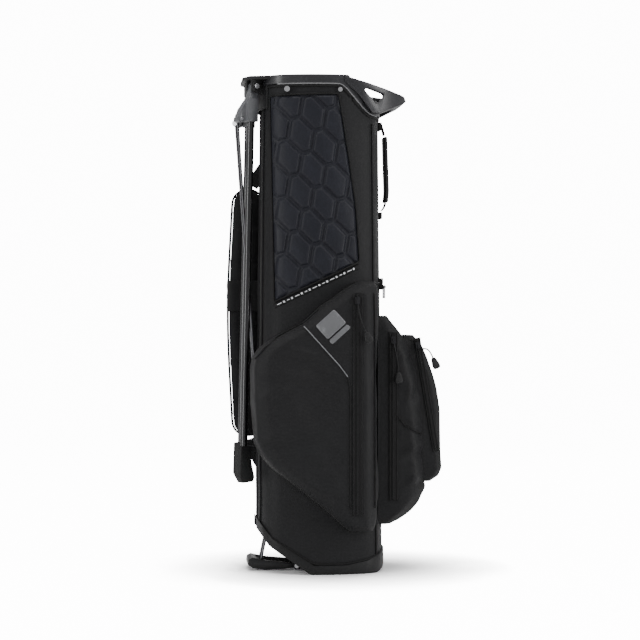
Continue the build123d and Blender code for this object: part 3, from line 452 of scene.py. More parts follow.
def capped(rings: np.ndarray) -> np.ndarray:
    """Rings closed at both ends by a row gathered in the end ring's middle."""
    ends = [np.repeat(end.mean(axis=1, keepdims=True), rings.shape[1], axis=1) for end in (rings[:1], rings[-1:])]
    return np.concatenate([ends[0], rings, ends[1]], axis=0)


def full_turn(count: int) -> np.ndarray:
    """Angles spaced evenly round a circle."""
    return np.linspace(0.0, 2.0 * np.pi, count, endpoint=False)


def rounded_square(count: int, power_x: float, power_y: float) -> Tuple[np.ndarray, np.ndarray]:
    """Outline between a circle (power 1) and a square (power 0), as two arrays from -1 to 1."""
    turn = full_turn(count)
    x = np.sign(np.cos(turn)) * np.abs(np.cos(turn)) ** power_x
    y = np.sign(np.sin(turn)) * np.abs(np.sin(turn)) ** power_y
    return x, y


def copies_mesh(name: str, verts: np.ndarray, pattern: Sequence[Tuple[int, ...]]) -> bpy.types.Object:
    """One mesh of many small solids that share a face pattern.

    Args:
        name: the piece's name.
        verts: corner points as an array of copies, corners and three coordinates.
        pattern: faces of one copy, by corner number.

    Returns:
        The new piece, its faces turned outwards.
    """
    count, corners = verts.shape[:2]
    shape = np.array(pattern)
    faces = (shape[None] + corners * np.arange(count)[:, None, None]).reshape(-1, shape.shape[1])
    mesh = bpy.data.meshes.new(name)
    mesh.from_pydata(verts.reshape(-1, 3).tolist(), [], faces.tolist())
    mesh.update()
    piece = placed(name, mesh)
    merge(piece)
    return piece


def sheet_mesh(name: str, grid: np.ndarray, closed: bool = False, out_from: Optional[np.ndarray] = None):
    """Mesh object from a grid of points, with a UV map in metres along and across.

    Args:
        name: the piece's name.
        grid: points as an array of rows, columns and three coordinates.
        closed: whether the last column joins the first.
        out_from: centre line points, one per row, that the faces point away from.

    Returns:
        The new object, at the origin.
    """
    rows, cols = grid.shape[:2]
    if out_from is not None:
        along = np.roll(grid, -1, axis=1)[:-1, :-1] - grid[:-1, :-1]
        up = grid[1:, :-1] - grid[:-1, :-1]
        normal = np.cross(along, up)
        away = grid[:-1, :-1] - out_from[:-1, None, :]
        if float(np.sum(normal * away)) < 0.0:
            grid = grid[:, ::-1]
    index = np.arange(rows * cols).reshape(rows, cols)
    if closed:
        right = np.roll(index, -1, axis=1)
        quads = np.stack([index[:-1], right[:-1], right[1:], index[1:]], axis=-1).reshape(-1, 4)
    else:
        corners = [index[:-1, :-1], index[:-1, 1:], index[1:, 1:], index[1:, :-1]]
        quads = np.stack(corners, axis=-1).reshape(-1, 4)
    mesh = bpy.data.meshes.new(name)
    mesh.vertices.add(rows * cols)
    mesh.vertices.foreach_set("co", grid.reshape(-1).astype(np.float32))
    mesh.loops.add(quads.size)
    mesh.loops.foreach_set("vertex_index", quads.reshape(-1).astype(np.int32))
    mesh.polygons.add(len(quads))
    mesh.polygons.foreach_set("loop_start", np.arange(0, quads.size, 4, dtype=np.int32))
    mesh.update(calc_edges=True)
    step_u = np.linalg.norm(np.diff(grid, axis=1), axis=2).mean(axis=0)
    step_v = np.linalg.norm(np.diff(grid, axis=0), axis=2).mean(axis=1)
    u = np.concatenate([[0.0], np.cumsum(step_u)])
    v = np.concatenate([[0.0], np.cumsum(step_v)])
    uv_grid = np.stack(np.meshgrid(u, v), axis=-1).reshape(-1, 2)
    loop_uv = uv_grid[quads.reshape(-1)]
    if closed:
        wrap = (quads[:, 1:2] % cols == 0) & (quads[:, 0:1] % cols == cols - 1)
        end = u[-1] + (u[-1] - u[-2])
        loop_uv = loop_uv.reshape(-1, 4, 2)
        loop_uv[:, 1:3, 0] = np.where(wrap, end, loop_uv[:, 1:3, 0])
        loop_uv = loop_uv.reshape(-1, 2)
    layer = mesh.uv_layers.new(name="surface")
    layer.data.foreach_set("uv", loop_uv.reshape(-1).astype(np.float32))
    shade_smooth(mesh)
    mesh.validate()
    return placed(name, mesh)


def joined(name: str, pieces: Sequence[bpy.types.Object]) -> bpy.types.Object:
    """Join mesh pieces into one object with the given name."""
    bpy.ops.object.select_all(action="DESELECT")
    for piece in pieces:
        piece.select_set(True)
    bpy.context.view_layer.objects.active = pieces[0]
    if len(pieces) > 1:
        bpy.ops.object.join()
    result = bpy.context.view_layer.objects.active
    result.name = name
    result.data.name = name
    return result


def applied(piece: bpy.types.Object) -> bpy.types.Object:
    """Apply every modifier of a piece, in order."""
    deps = bpy.context.evaluated_depsgraph_get()
    solved = piece.evaluated_get(deps)
    mesh = bpy.data.meshes.new_from_object(solved, preserve_all_data_layers=True, depsgraph=deps)
    old = piece.data
    piece.modifiers.clear()
    piece.data = mesh
    bpy.data.meshes.remove(old)
    return piece


def thicken(piece: bpy.types.Object, wall: float, offset: float = -1.0) -> bpy.types.Object:
    """Give a sheet its thickness, inwards by default."""
    solid = piece.modifiers.new("wall", "SOLIDIFY")
    solid.thickness = wall
    solid.offset = offset
    solid.use_even_offset = False
    return applied(piece)


def smooth_rows(values: np.ndarray, times: int, axis: int = 0) -> np.ndarray:
    """Blur an array along an axis: each pass averages with both neighbours, ends held."""
    result = values.copy()
    for _ in range(times):
        padded = np.concatenate([result.take([0], axis), result, result.take([-1], axis)], axis=axis)
        count = result.shape[axis]
        before = padded.take(range(0, count), axis)
        after = padded.take(range(2, count + 2), axis)
        result = 0.25 * before + 0.5 * result + 0.25 * after
    return result


def even_path(points: np.ndarray, count: int) -> np.ndarray:
    """Points spaced evenly by length along a polyline."""
    steps = np.linalg.norm(np.diff(points, axis=0), axis=1)
    run = np.concatenate([[0.0], np.cumsum(steps)])
    want = np.linspace(0.0, run[-1], count)
    return np.stack([np.interp(want, run, points[:, k]) for k in range(points.shape[1])], axis=1)


def swept(name: str, path: np.ndarray, profile: np.ndarray, up: Point = (0.0, 0.0, 1.0)) -> bpy.types.Object:
    """Carry a closed profile along a path.

    The profile's first number goes sideways and its second along the side that
    faces `up`. Frames come from the path's direction crossed with `up`.

    Args:
        name: the piece's name.
        path: points of the path.
        profile: closed outline as pairs.
        up: the direction that the profile's second number leans towards.

    Returns:
        The new closed piece.
    """
    ahead = np.gradient(path, axis=0)
    ahead /= np.linalg.norm(ahead, axis=1, keepdims=True) + 1e-12
    ups = np.broadcast_to(np.asarray(up, dtype=float), ahead.shape)
    side = np.cross(ahead, ups)
    side /= np.linalg.norm(side, axis=1, keepdims=True) + 1e-12
    top = np.cross(side, ahead)
    across = profile[None, :, 0:1] * side[:, None, :] + profile[None, :, 1:2] * top[:, None, :]
    grid = path[:, None, :] + across
    centre = np.concatenate([path[:1], path, path[-1:]], axis=0)
    piece = sheet_mesh(name, capped(grid), closed=True, out_from=centre)
    merge(piece)
    return piece


def round_profile(radius: float, count: int = 10) -> np.ndarray:
    """Circle as a closed outline."""
    turn = full_turn(count)
    return np.stack([radius * np.cos(turn), radius * np.sin(turn)], axis=1)


def band_profile(width: float, thick: float, rib: float = 0.0, count: int = 24) -> np.ndarray:
    """Flat webbing outline: a rounded rectangle whose edges bulge by `rib`."""
    x, y = rounded_square(count, 0.28, 0.28)
    bead = 1.0 + rib * np.abs(x) ** 8
    return np.stack([x * width / 2, y * bead * thick / 2], axis=1)


def merge(piece: bpy.types.Object, gap: float = 1e-6) -> None:
    """Join points that coincide and turn the faces outwards."""
    work = bmesh.new()
    work.from_mesh(piece.data)
    bmesh.ops.remove_doubles(work, verts=work.verts, dist=gap)
    flat = [f for f in work.faces if f.calc_area() < 1e-14]
    bmesh.ops.delete(work, geom=flat, context="FACES_ONLY")
    bmesh.ops.recalc_face_normals(work, faces=work.faces)
    work.to_mesh(piece.data)
    work.free()
    piece.data.update()


@dataclass
class Tube:
    """The bag's tapered body, as a function of place round it and height."""

    height: float = 0.889
    base_x: float = 0.117
    base_y: float = 0.107
    top_x: float = 0.109
    top_y: float = 0.101
    bow: float = 0.009
    corner: float = 0.048

    def half(self, z: np.ndarray) -> Tuple[np.ndarray, np.ndarray]:
        """Half sizes at a height: each runs straight from floor to collar."""
        share = np.asarray(z) / self.height
        half_x = self.base_x + (self.top_x - self.base_x) * share
        return half_x, self.base_y + (self.top_y - self.base_y) * share

    def ring(
        self, z: float, inset: float, per_side: int = 40, per_corner: int = 14
    ) -> Tuple[np.ndarray, np.ndarray]:
        """Outline at one height: four bowed sides joined by round corners.

        Args:
            z: height.
            inset: how far the outline is moved inwards.
            per_side: points on each side.
            per_corner: points on each corner.

        Returns:
            Points and outward normals, both as pairs, going anticlockwise from the -X -Y corner.
        """
        half_x, half_y = self.half(z)
        core_x = float(half_x) - self.corner - self.bow
        core_y = float(half_y) - self.corner - self.bow
        reach = self.corner - inset
        starts = [(-core_x, -core_y), (core_x, -core_y), (core_x, core_y), (-core_x, core_y)]
        points: List[np.ndarray] = []
        normals: List[np.ndarray] = []
        for k in range(4):
            a = np.array(starts[k])
            b = np.array(starts[(k + 1) % 4])
            length = np.linalg.norm(b - a)
            ahead = (b - a) / length
            out = np.array([ahead[1], -ahead[0]])
            radius = (length**2 / 4 + self.bow**2) / (2 * self.bow)
            spread = math.asin(length / 2 / radius)
            turn = np.linspace(-spread, spread, per_side)[:, None]
            normal = np.sin(turn) * ahead + np.cos(turn) * out
            centre = (a + b) / 2 + out * (self.bow - radius)
            points.append(centre + normal * (radius + reach))
            normals.append(normal)
            next_length = 2 * core_y if k % 2 == 0 else 2 * core_x
            next_radius = (next_length**2 / 4 + self.bow**2) / (2 * self.bow)
            next_spread = math.asin(next_length / 2 / next_radius)
            turn = np.linspace(spread, math.pi / 2 - next_spread, per_corner + 2)[1:-1, None]
            normal = np.sin(turn) * ahead + np.cos(turn) * out
            points.append(b + normal * reach)
            normals.append(normal)
        return np.concatenate(points), np.concatenate(normals)

    def side_y(self, x: np.ndarray, z: np.ndarray, inset: float = 0.0) -> np.ndarray:
        """Distance of the -Y side from the middle at places x and z, as a positive number."""
        x, z = np.broadcast_arrays(np.asarray(x, dtype=float), np.asarray(z, dtype=float))
        reach, steps, floors = 0.12, 240, 8
        places = np.linspace(-reach, reach, steps + 1)
        rows = []
        for level in np.linspace(0.0, self.height, floors + 1):
            points, _ = self.ring(float(level), inset)
            near = points[points[:, 1] < 0]
            order = np.argsort(near[:, 0])
            rows.append(np.interp(places, near[order, 0], -near[order, 1]))
        table = np.array(rows)
        column = np.clip((x + reach) / (2 * reach) * steps, 0, steps - 0.001)
        row = np.clip(z / self.height * floors, 0, floors - 0.001)
        c0 = column.astype(int)
        r0 = row.astype(int)
        share_x = column - c0
        share_z = row - r0
        below = table[r0, c0] * (1 - share_x) + table[r0, c0 + 1] * share_x
        above = table[r0 + 1, c0] * (1 - share_x) + table[r0 + 1, c0 + 1] * share_x
        return below * (1 - share_z) + above * share_z


TUBE_SHAPE = Tube()


def creases(u: np.ndarray, v: np.ndarray, seed: int) -> np.ndarray:
    """Soft cloth wrinkles: a seeded sum of slanted sine waves, from -1 to 1."""
    random = np.random.default_rng(seed)
    total = np.zeros(np.broadcast(u, v).shape)
    weight = 0.0
    for k in range(9):
        angle = random.uniform(0.0, math.pi)
        wave = random.uniform(18.0, 62.0)
        shift = random.uniform(0.0, 6.28)
        bend = 0.6 * np.sin(v * random.uniform(4, 11) + shift)
        phase = wave * (u * math.cos(angle) + v * math.sin(angle) + 0.02 * bend) + shift
        part = 1.0 / (1.0 + 0.18 * k)
        total = total + part * np.sin(phase)
        weight += part
    return total / weight * 1.6


def line_height(profile: Sequence[Tuple[float, float]], x: np.ndarray) -> np.ndarray:
    """Height of a side profile at places x, straight between its points."""
    ordered = sorted(profile)
    return np.interp(x, [p[0] for p in ordered], [p[1] for p in ordered])


# Side profiles as (x, z) and the rod channel, with the values of the CAD source
FABRIC_FOOT = [
    (-0.137, 0.1153),
    (-0.0935, 0.055),
    (-0.0205, 0.0046),
    (0.0965, 0.0046),
    (0.1085, 0.010),
    (0.137, 0.038),
]
TUB_SEAM = [
    (-0.137, 0.1243),
    (-0.089, 0.062),
    (-0.016, 0.016),
    (0.041, 0.016),
    (0.082, 0.023),
    (0.137, 0.046),
]
COLLAR_LOW = [
    (0.137, 0.819),
    (0.0916, 0.820),
    (0.0828, 0.823),
    (0.0709, 0.834),
    (0.0567, 0.850),
    (0.0425, 0.866),
    (0.0327, 0.873),
    (-0.137, 0.873),
]
CHANNEL_BACK = -0.084
CHANNEL_HALF = 0.034
CHANNEL_TOP = 0.853
MID_HEIGHT = 0.45


def finish_piece(piece: bpy.types.Object, body: str, look: Look, slot: str, *nodes: str) -> bpy.types.Object:
    """Dress a piece, tie it to its body and hide the nodes it stands for.

    Args:
        piece: the new piece.
        body: the body it rides on.
        look: its finish.
        slot: the record's material slot; not used.
        nodes: CAD nodes that it replaces.

    Returns:
        The same piece.
    """
    DRESS.dress(piece, look)
    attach(piece, body)
    if nodes:
        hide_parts(*nodes)
    log.info("%s on %s", piece.name, body)
    return piece


def softened(node: str, width: float, segments: int = 2) -> bpy.types.Object:
    """Copy of a moulded node with its sharp edges rounded off."""
    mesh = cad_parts[node].data.copy()
    mesh.name = node + "_moulding"
    mesh.materials.clear()
    piece = placed(mesh.name, mesh)
    work = bmesh.new()
    work.from_mesh(mesh)
    bmesh.ops.remove_doubles(work, verts=work.verts, dist=2e-6)
    bmesh.ops.dissolve_limit(work, angle_limit=math.radians(1.0), verts=work.verts, edges=work.edges)
    bmesh.ops.recalc_face_normals(work, faces=work.faces)
    work.to_mesh(mesh)
    work.free()
    bevel = piece.modifiers.new("round", "BEVEL")
    bevel.width = width
    bevel.segments = segments
    bevel.limit_method = "ANGLE"
    bevel.angle_limit = math.radians(32.0)
    bevel.use_clamp_overlap = True
    applied(piece)
    shade_smooth(piece.data)
    piece.data.set_sharp_from_angle(angle=math.radians(34.0))
    return piece


STITCH_CORNERS = (
    (-0.5, 0.0, 0.0),
    (0.0, 0.5, 0.25),
    (0.5, 0.0, 0.0),
    (0.0, -0.5, 0.25),
    (0.0, 0.0, 1.0),
    (0.0, 0.0, -0.6),
)
STITCH_FACES = ((0, 3, 4), (3, 2, 4), (2, 1, 4), (1, 0, 4), (3, 0, 5), (2, 3, 5), (1, 2, 5), (0, 1, 5))
BOX_RING = ((-1.0, -1.0), (1.0, -1.0), (1.0, 1.0), (-1.0, 1.0))
BOX_CORNERS = tuple((a, b, c) for c in (0.0, 1.0) for a, b in BOX_RING)
BOX_FACES = ((0, 3, 2, 1), (4, 5, 6, 7), (0, 1, 5, 4), (1, 2, 6, 5), (2, 3, 7, 6), (3, 0, 4, 7))


def stitch_row(name: str, path: np.ndarray, out: np.ndarray, pitch: float = 0.0042, long: float = 0.0027):
    """Row of thread stitches: flat lozenges set evenly along a path, standing on its outward side.

    Args:
        name: the piece's name.
        path: points that the row follows.
        out: outward directions, one per point.
        pitch: distance from stitch to stitch.
        long: length of one stitch.

    Returns:
        One mesh of all the stitches.
    """
    steps = np.linalg.norm(np.diff(path, axis=0), axis=1)
    run = np.concatenate([[0.0], np.cumsum(steps)])
    count = max(2, int(run[-1] / pitch))
    mids = (np.arange(count) + 0.5) * run[-1] / count

    def at(places: np.ndarray, table: np.ndarray) -> np.ndarray:
        """Value of a table at lengths along the path."""
        return np.stack([np.interp(places, run, table[:, k]) for k in range(3)], axis=1)

    centre = at(mids, path)
    ahead = at(mids + long / 2, path) - at(mids - long / 2, path)
    ahead /= np.linalg.norm(ahead, axis=1, keepdims=True) + 1e-12
    normal = at(mids, out)
    normal /= np.linalg.norm(normal, axis=1, keepdims=True) + 1e-12
    side = np.cross(ahead, normal)
    wide = 0.0009
    high = 0.0005
    corners = [centre + a * long * ahead + b * wide * side + c * high * normal for a, b, c in STITCH_CORNERS]
    return copies_mesh(name, np.stack(corners, axis=1), STITCH_FACES)


@dataclass
class Shell:
    """The tube's cloth: panels, rod channel, seams and bindings."""

    rows: int = 150
    wall: float = 0.0024
    fold: float = 0.0011

    def grid(self) -> np.ndarray:
        """Cloth surface: the tube's ring carried from the foot line to the collar line, with soft folds."""
        base, _ = TUBE_SHAPE.ring(MID_HEIGHT, 0.0)
        x_ref = base[:, 0]
        low = line_height(FABRIC_FOOT, x_ref) + 0.001
        high = line_height(COLLAR_LOW, x_ref) - 0.0003
        share = np.linspace(0.0, 1.0, self.rows)[:, None]
        z = low[None] + (high - low)[None] * share
        bottom, normal = TUBE_SHAPE.ring(0.0, 0.0)
        top, _ = TUBE_SHAPE.ring(TUBE_SHAPE.height, 0.0)
        blend = (z / TUBE_SHAPE.height)[..., None]
        flat = bottom[None] * (1 - blend) + top[None] * blend
        turn = np.arctan2(base[:, 1], base[:, 0])[None]
        fade = np.sin(np.pi * np.clip(share, 0, 1)) ** 0.5
        lower = 0.6 + 0.8 * np.exp(-(((z - 0.17) / 0.16) ** 2))
        push = creases(turn * 0.10, z, 5) * self.fold * fade * lower - 0.0006
        inside = (np.abs(flat[..., 1]) < CHANNEL_HALF) & (flat[..., 0] < 0) & (z < CHANNEL_TOP)
        flat = flat + normal[None] * push[..., None]
        flat[..., 0] = np.where(inside, CHANNEL_BACK, flat[..., 0])
        return np.concatenate([flat, z[..., None]], axis=2)

    def build(self) -> None:
        """Make the cloth and its seams."""
        grid = self.grid()
        cloth = sheet_mesh("tube_cloth", grid, closed=True, out_from=middle_line(grid[..., 2]))
        thicken(cloth, self.wall)
        panels = ("front_spine", "body_panel_left", "body_panel_right", "body_panel_back")
        finish_piece(cloth, "bag", SHELL, "shell_fabric", *panels)
        seams: List[bpy.types.Object] = []
        threads: List[bpy.types.Object] = []
        for place_y, place_x in ((-0.0505, -1.0), (0.0505, -1.0), (-0.077, 1.0), (0.077, 1.0)):
            row = grid[60]
            column = int(np.argmin(np.abs(row[:, 1] - place_y) + (np.sign(row[:, 0]) != place_x) * 1.0))
            line = even_path(grid[3:-3, column], 120)
            out = self.outward(line)
            seams.append(swept("seam", line + out * 0.0009, round_profile(0.0016, 8), up=(place_x, 0.0, 0.0)))
            for step in (-0.0055, 0.0055):
                side = np.cross(out, np.array([0.0, 0.0, 1.0]))
                threads.append(stitch_row("thread", line + side * step + out * 0.0003, out))
        finish_piece(joined("tube_seam_piping", seams), "bag", WEB_PLAIN, "shell_fabric")
        finish_piece(joined("tube_seam_threads", threads), "bag", THREAD, "shell_fabric")
        self.bindings()

    @staticmethod
    def outward(line: np.ndarray) -> np.ndarray:
        """Outward directions of the tube at points on it, from the ring's normals."""
        result = []
        for x, y, z in line[:, :3]:
            points, normals = TUBE_SHAPE.ring(float(z), 0.0)
            nearest = int(np.argmin((points[:, 0] - x) ** 2 + (points[:, 1] - y) ** 2))
            result.append((normals[nearest, 0], normals[nearest, 1], 0.0))
        return np.array(result)

    def bindings(self) -> None:
        """Bound hem under the collar and above the base, left out over the rod channel."""
        for name, profile, lift, radius in (
            ("collar_binding", COLLAR_LOW, -0.0035, 0.0030),
            ("foot_binding", TUB_SEAM, 0.0024, 0.0024),
        ):
            points, normals = TUBE_SHAPE.ring(MID_HEIGHT, 0.0)
            height = line_height(profile, points[:, 0]) + lift
            height = smooth_rows(np.concatenate([height, height, height]), 4)[len(height) : 2 * len(height)]
            bottom, _ = TUBE_SHAPE.ring(0.0, 0.0)
            top, _ = TUBE_SHAPE.ring(TUBE_SHAPE.height, 0.0)
            share = (height / TUBE_SHAPE.height)[:, None]
            flat = bottom * (1 - share) + top * share + normals * 0.0004
            keep = ~((points[:, 0] < 0) & (np.abs(points[:, 1]) < CHANNEL_HALF + 0.002))
            path = np.concatenate([flat, height[:, None]], axis=1)
            start = int(np.argmax(~keep))
            order = (np.arange(len(path)) + start) % len(path)
            chain = path[order][keep[order]]
            gaps = np.linalg.norm(np.diff(chain, axis=0), axis=1)
            cut = int(np.argmax(gaps)) + 1
            chain = np.concatenate([chain[cut:], chain[:cut]])
            grid = self.hoop(chain, radius)
            piece = sheet_mesh(name, grid, closed=True)
            merge(piece)
            finish_piece(piece, "bag", WEB_PLAIN, "shell_fabric")

    @staticmethod
    def hoop(path: np.ndarray, radius: float) -> np.ndarray:
        """Flattened tube along a path round the bag: an ellipse twice as tall as deep, shut at its start."""
        ahead = np.gradient(path, axis=0)
        ahead /= np.linalg.norm(ahead, axis=1, keepdims=True)
        out = np.stack([ahead[:, 1], -ahead[:, 0], np.zeros(len(path))], axis=1)
        out /= np.linalg.norm(out, axis=1, keepdims=True)
        tall = np.cross(out, ahead)
        turn = full_turn(12)
        ring = path[:, None] + out[:, None] * (np.cos(turn)[None, :, None] * radius * 0.5)
        ring = ring + tall[:, None] * (np.sin(turn)[None, :, None] * radius)
        start = np.repeat(ring[:1].mean(axis=1, keepdims=True), len(turn), axis=1)
        return np.concatenate([start, ring], axis=0)


def hex_cells(x: np.ndarray, z: np.ndarray) -> np.ndarray:
    """Distance to the edge of the six-sided cell that a place lies in.

    A cell has a short edge, a long slanted edge and a near-upright edge, each
    twice. The distance is the least over the three pairs of half width minus
    the place's distance from the cell's middle across that pair.

    Args:
        x: places across, in metres.
        z: places up, in metres.

    Returns:
        Distance inside the cell, largest over the cells near each place.
    """
    short = np.array([0.0163, 0.0041])
    slant = np.array([0.0258, -0.0253])
    upright = np.array([-0.0054, -0.0359])
    step_a = short + slant
    step_b = upright - short
    origin = np.array([-0.0394, 0.7804])
    det = step_a[0] * step_b[1] - step_a[1] * step_b[0]
    px = x - origin[0]
    pz = z - origin[1]
    s0 = np.round((px * step_b[1] - pz * step_b[0]) / det)
    t0 = np.round((step_a[0] * pz - step_a[1] * px) / det)
    pairs = ((upright, step_a), (slant, short - upright), (short, slant + upright))
    best = np.full(np.broadcast(x, z).shape, -1.0)
    for ds in (-1, 0, 1):
        for dt in (-1, 0, 1):
            qx = px - (s0 + ds) * step_a[0] - (t0 + dt) * step_b[0]
            qz = pz - (s0 + ds) * step_a[1] - (t0 + dt) * step_b[1]
            inside = np.full(best.shape, 1.0)
            for edge, across in pairs:
                normal = np.array([edge[1], -edge[0]]) / np.hypot(*edge)
                half = abs(float(normal @ across)) / 2
                inside = np.minimum(inside, half - np.abs(qx * normal[0] + qz * normal[1]))
            best = np.maximum(best, inside)
    return best


@dataclass
class QuiltedPanel:
    """The padded panel of six-sided cells on the near side, and the tape under it."""

    puff: float = 0.0040
    cols: int = 220
    rows: int = 350
    wide: float = 0.15
    tall: float = 0.34
    tape_start: Tuple[float, float] = (-0.086, 0.4765)
    tape_reach: Tuple[float, float] = (0.152, 0.0715)

    def place(self, s: np.ndarray, v: np.ndarray) -> Tuple[np.ndarray, np.ndarray]:
        """Panel places from shares across and up: straight left edge, bent right edge, slanted foot."""
        left = -0.086 - 0.007 * v
        right = np.interp(v, [0.0, 0.33, 0.62, 1.0], [0.0665, 0.0600, 0.0470, 0.0290])
        x = left + (right - left) * s
        low = 0.484 + 0.072 * s
        high = 0.852 + 0.003 * s
        return x, low + (high - low) * v

    def build(self) -> None:
        """Make the cells, the binding and the printed tape."""
        s, v = np.meshgrid(np.linspace(0, 1, self.cols), np.linspace(0, 1, self.rows))
        x, z = self.place(s, v)
        inside = hex_cells(x, z)
        rise = 1.0 - np.exp(-((np.clip(inside - 0.0016, 0, None) / 0.0026) ** 1.8))
        dome = 0.18 * np.clip(inside / 0.016, 0, 1)
        rim = np.minimum(np.minimum(s, 1 - s) * self.wide, np.minimum(v, 1 - v) * self.tall)
        edge = np.clip((rim - 0.0015) / 0.005, 0, 1)
        height = 0.0004 + self.puff * (rise + dome) * edge
        height = np.where(rim <= 0.0, -0.0015, height)
        y = -(TUBE_SHAPE.side_y(x, z) + height)
        grid = np.stack([x, y, z], axis=-1)
        panel = sheet_mesh("quilted_cells", grid, out_from=middle_line(z))
        finish_piece(panel, "bag", QUILT, "quilt_fabric", "quilted_panel")
        border = self.border(0.0)
        out = facing(NEAR_WAY, len(border))
        rope = swept("quilt_border_piping", border + out * 0.0016, round_profile(0.0019, 8), up=NEAR_WAY)
        finish_piece(rope, "bag", WEB_PLAIN, "quilt_fabric")
        inner = self.border(0.0045)
        threads = stitch_row("quilt_border_threads", inner + out[: len(inner)] * 0.0016, out[: len(inner)])
        finish_piece(threads, "bag", THREAD, "quilt_fabric")
        self.tape()

    def border(self, inset: float) -> np.ndarray:
        """Closed line round the panel, moved inwards by inset."""
        a = inset / self.wide
        b = inset / self.tall
        run = np.linspace(0, 1, 60)
        held = np.ones(60)
        s = np.concatenate([a + run * (1 - 2 * a), held * (1 - a), 1 - a - run * (1 - 2 * a), held * a])
        v = np.concatenate([held * b, b + run * (1 - 2 * b), held * (1 - b), 1 - b - run * (1 - 2 * b)])
        x, z = self.place(s, v)
        path = np.stack([x, -TUBE_SHAPE.side_y(x, z) - 0.0004, z], axis=1)
        path = smooth_rows(even_path(path, 300), 3)
        return np.concatenate([path, path[:1]])

    def tape(self) -> None:
        """Flat tape below the panel with a printed row of dashes and small squares."""
        run = np.linspace(0, 1, 90)
        across = np.linspace(-0.5, 0.5, 7)
        start = self.tape_start
        along_x = start[0] + self.tape_reach[0] * run
        along_z = start[1] + self.tape_reach[1] * run
        x = np.repeat(along_x[None], 7, axis=0) - across[:, None] * 0.0034
        z = along_z[None] + across[:, None] * 0.0082
        lift = 0.0013 - 0.0016 * (np.abs(across)[:, None] > 0.45)
        y = -(TUBE_SHAPE.side_y(x, z) + lift)
        ribbon = sheet_mesh("trim_band", np.stack([x, y, z], axis=-1), out_from=middle_line(z))
        finish_piece(ribbon, "bag", WEB, "trim_tape", "trim_tape")
        marks: List[bpy.types.Object] = []
        length = math.hypot(*self.tape_reach)
        ahead = np.array(self.tape_reach) / length
        up = np.array([-ahead[1], ahead[0]])
        place = 0.006
        pattern = ((0.0085, 0.0013), (0.0032, 0.0034), (0.0050, 0.0013), (0.0032, 0.0034))
        count = 0
        while place < length - 0.010:
            wide, tall = pattern[count % 4]
            u, w = np.meshgrid(np.linspace(place, place + wide, 6), np.linspace(-tall / 2, tall / 2, 3))
            mx = start[0] + ahead[0] * u + up[0] * w
            mz = start[1] + ahead[1] * u + up[1] * w
            my = -(TUBE_SHAPE.side_y(mx, mz) + 0.00155)
            marks.append(sheet_mesh("mark", np.stack([mx, my, mz], axis=-1), out_from=middle_line(mz)))
            place += wide + (0.0042 if count % 2 else 0.0030)
            count += 1
        prints = joined("trim_band_marks", marks)
        thicken(prints, 0.0002)
        finish_piece(prints, "bag", MARK, "trim_tape")


class Side(Enum):
    """Which way a pocket bulges."""

    NEAR = "near"
    BACK = "back"


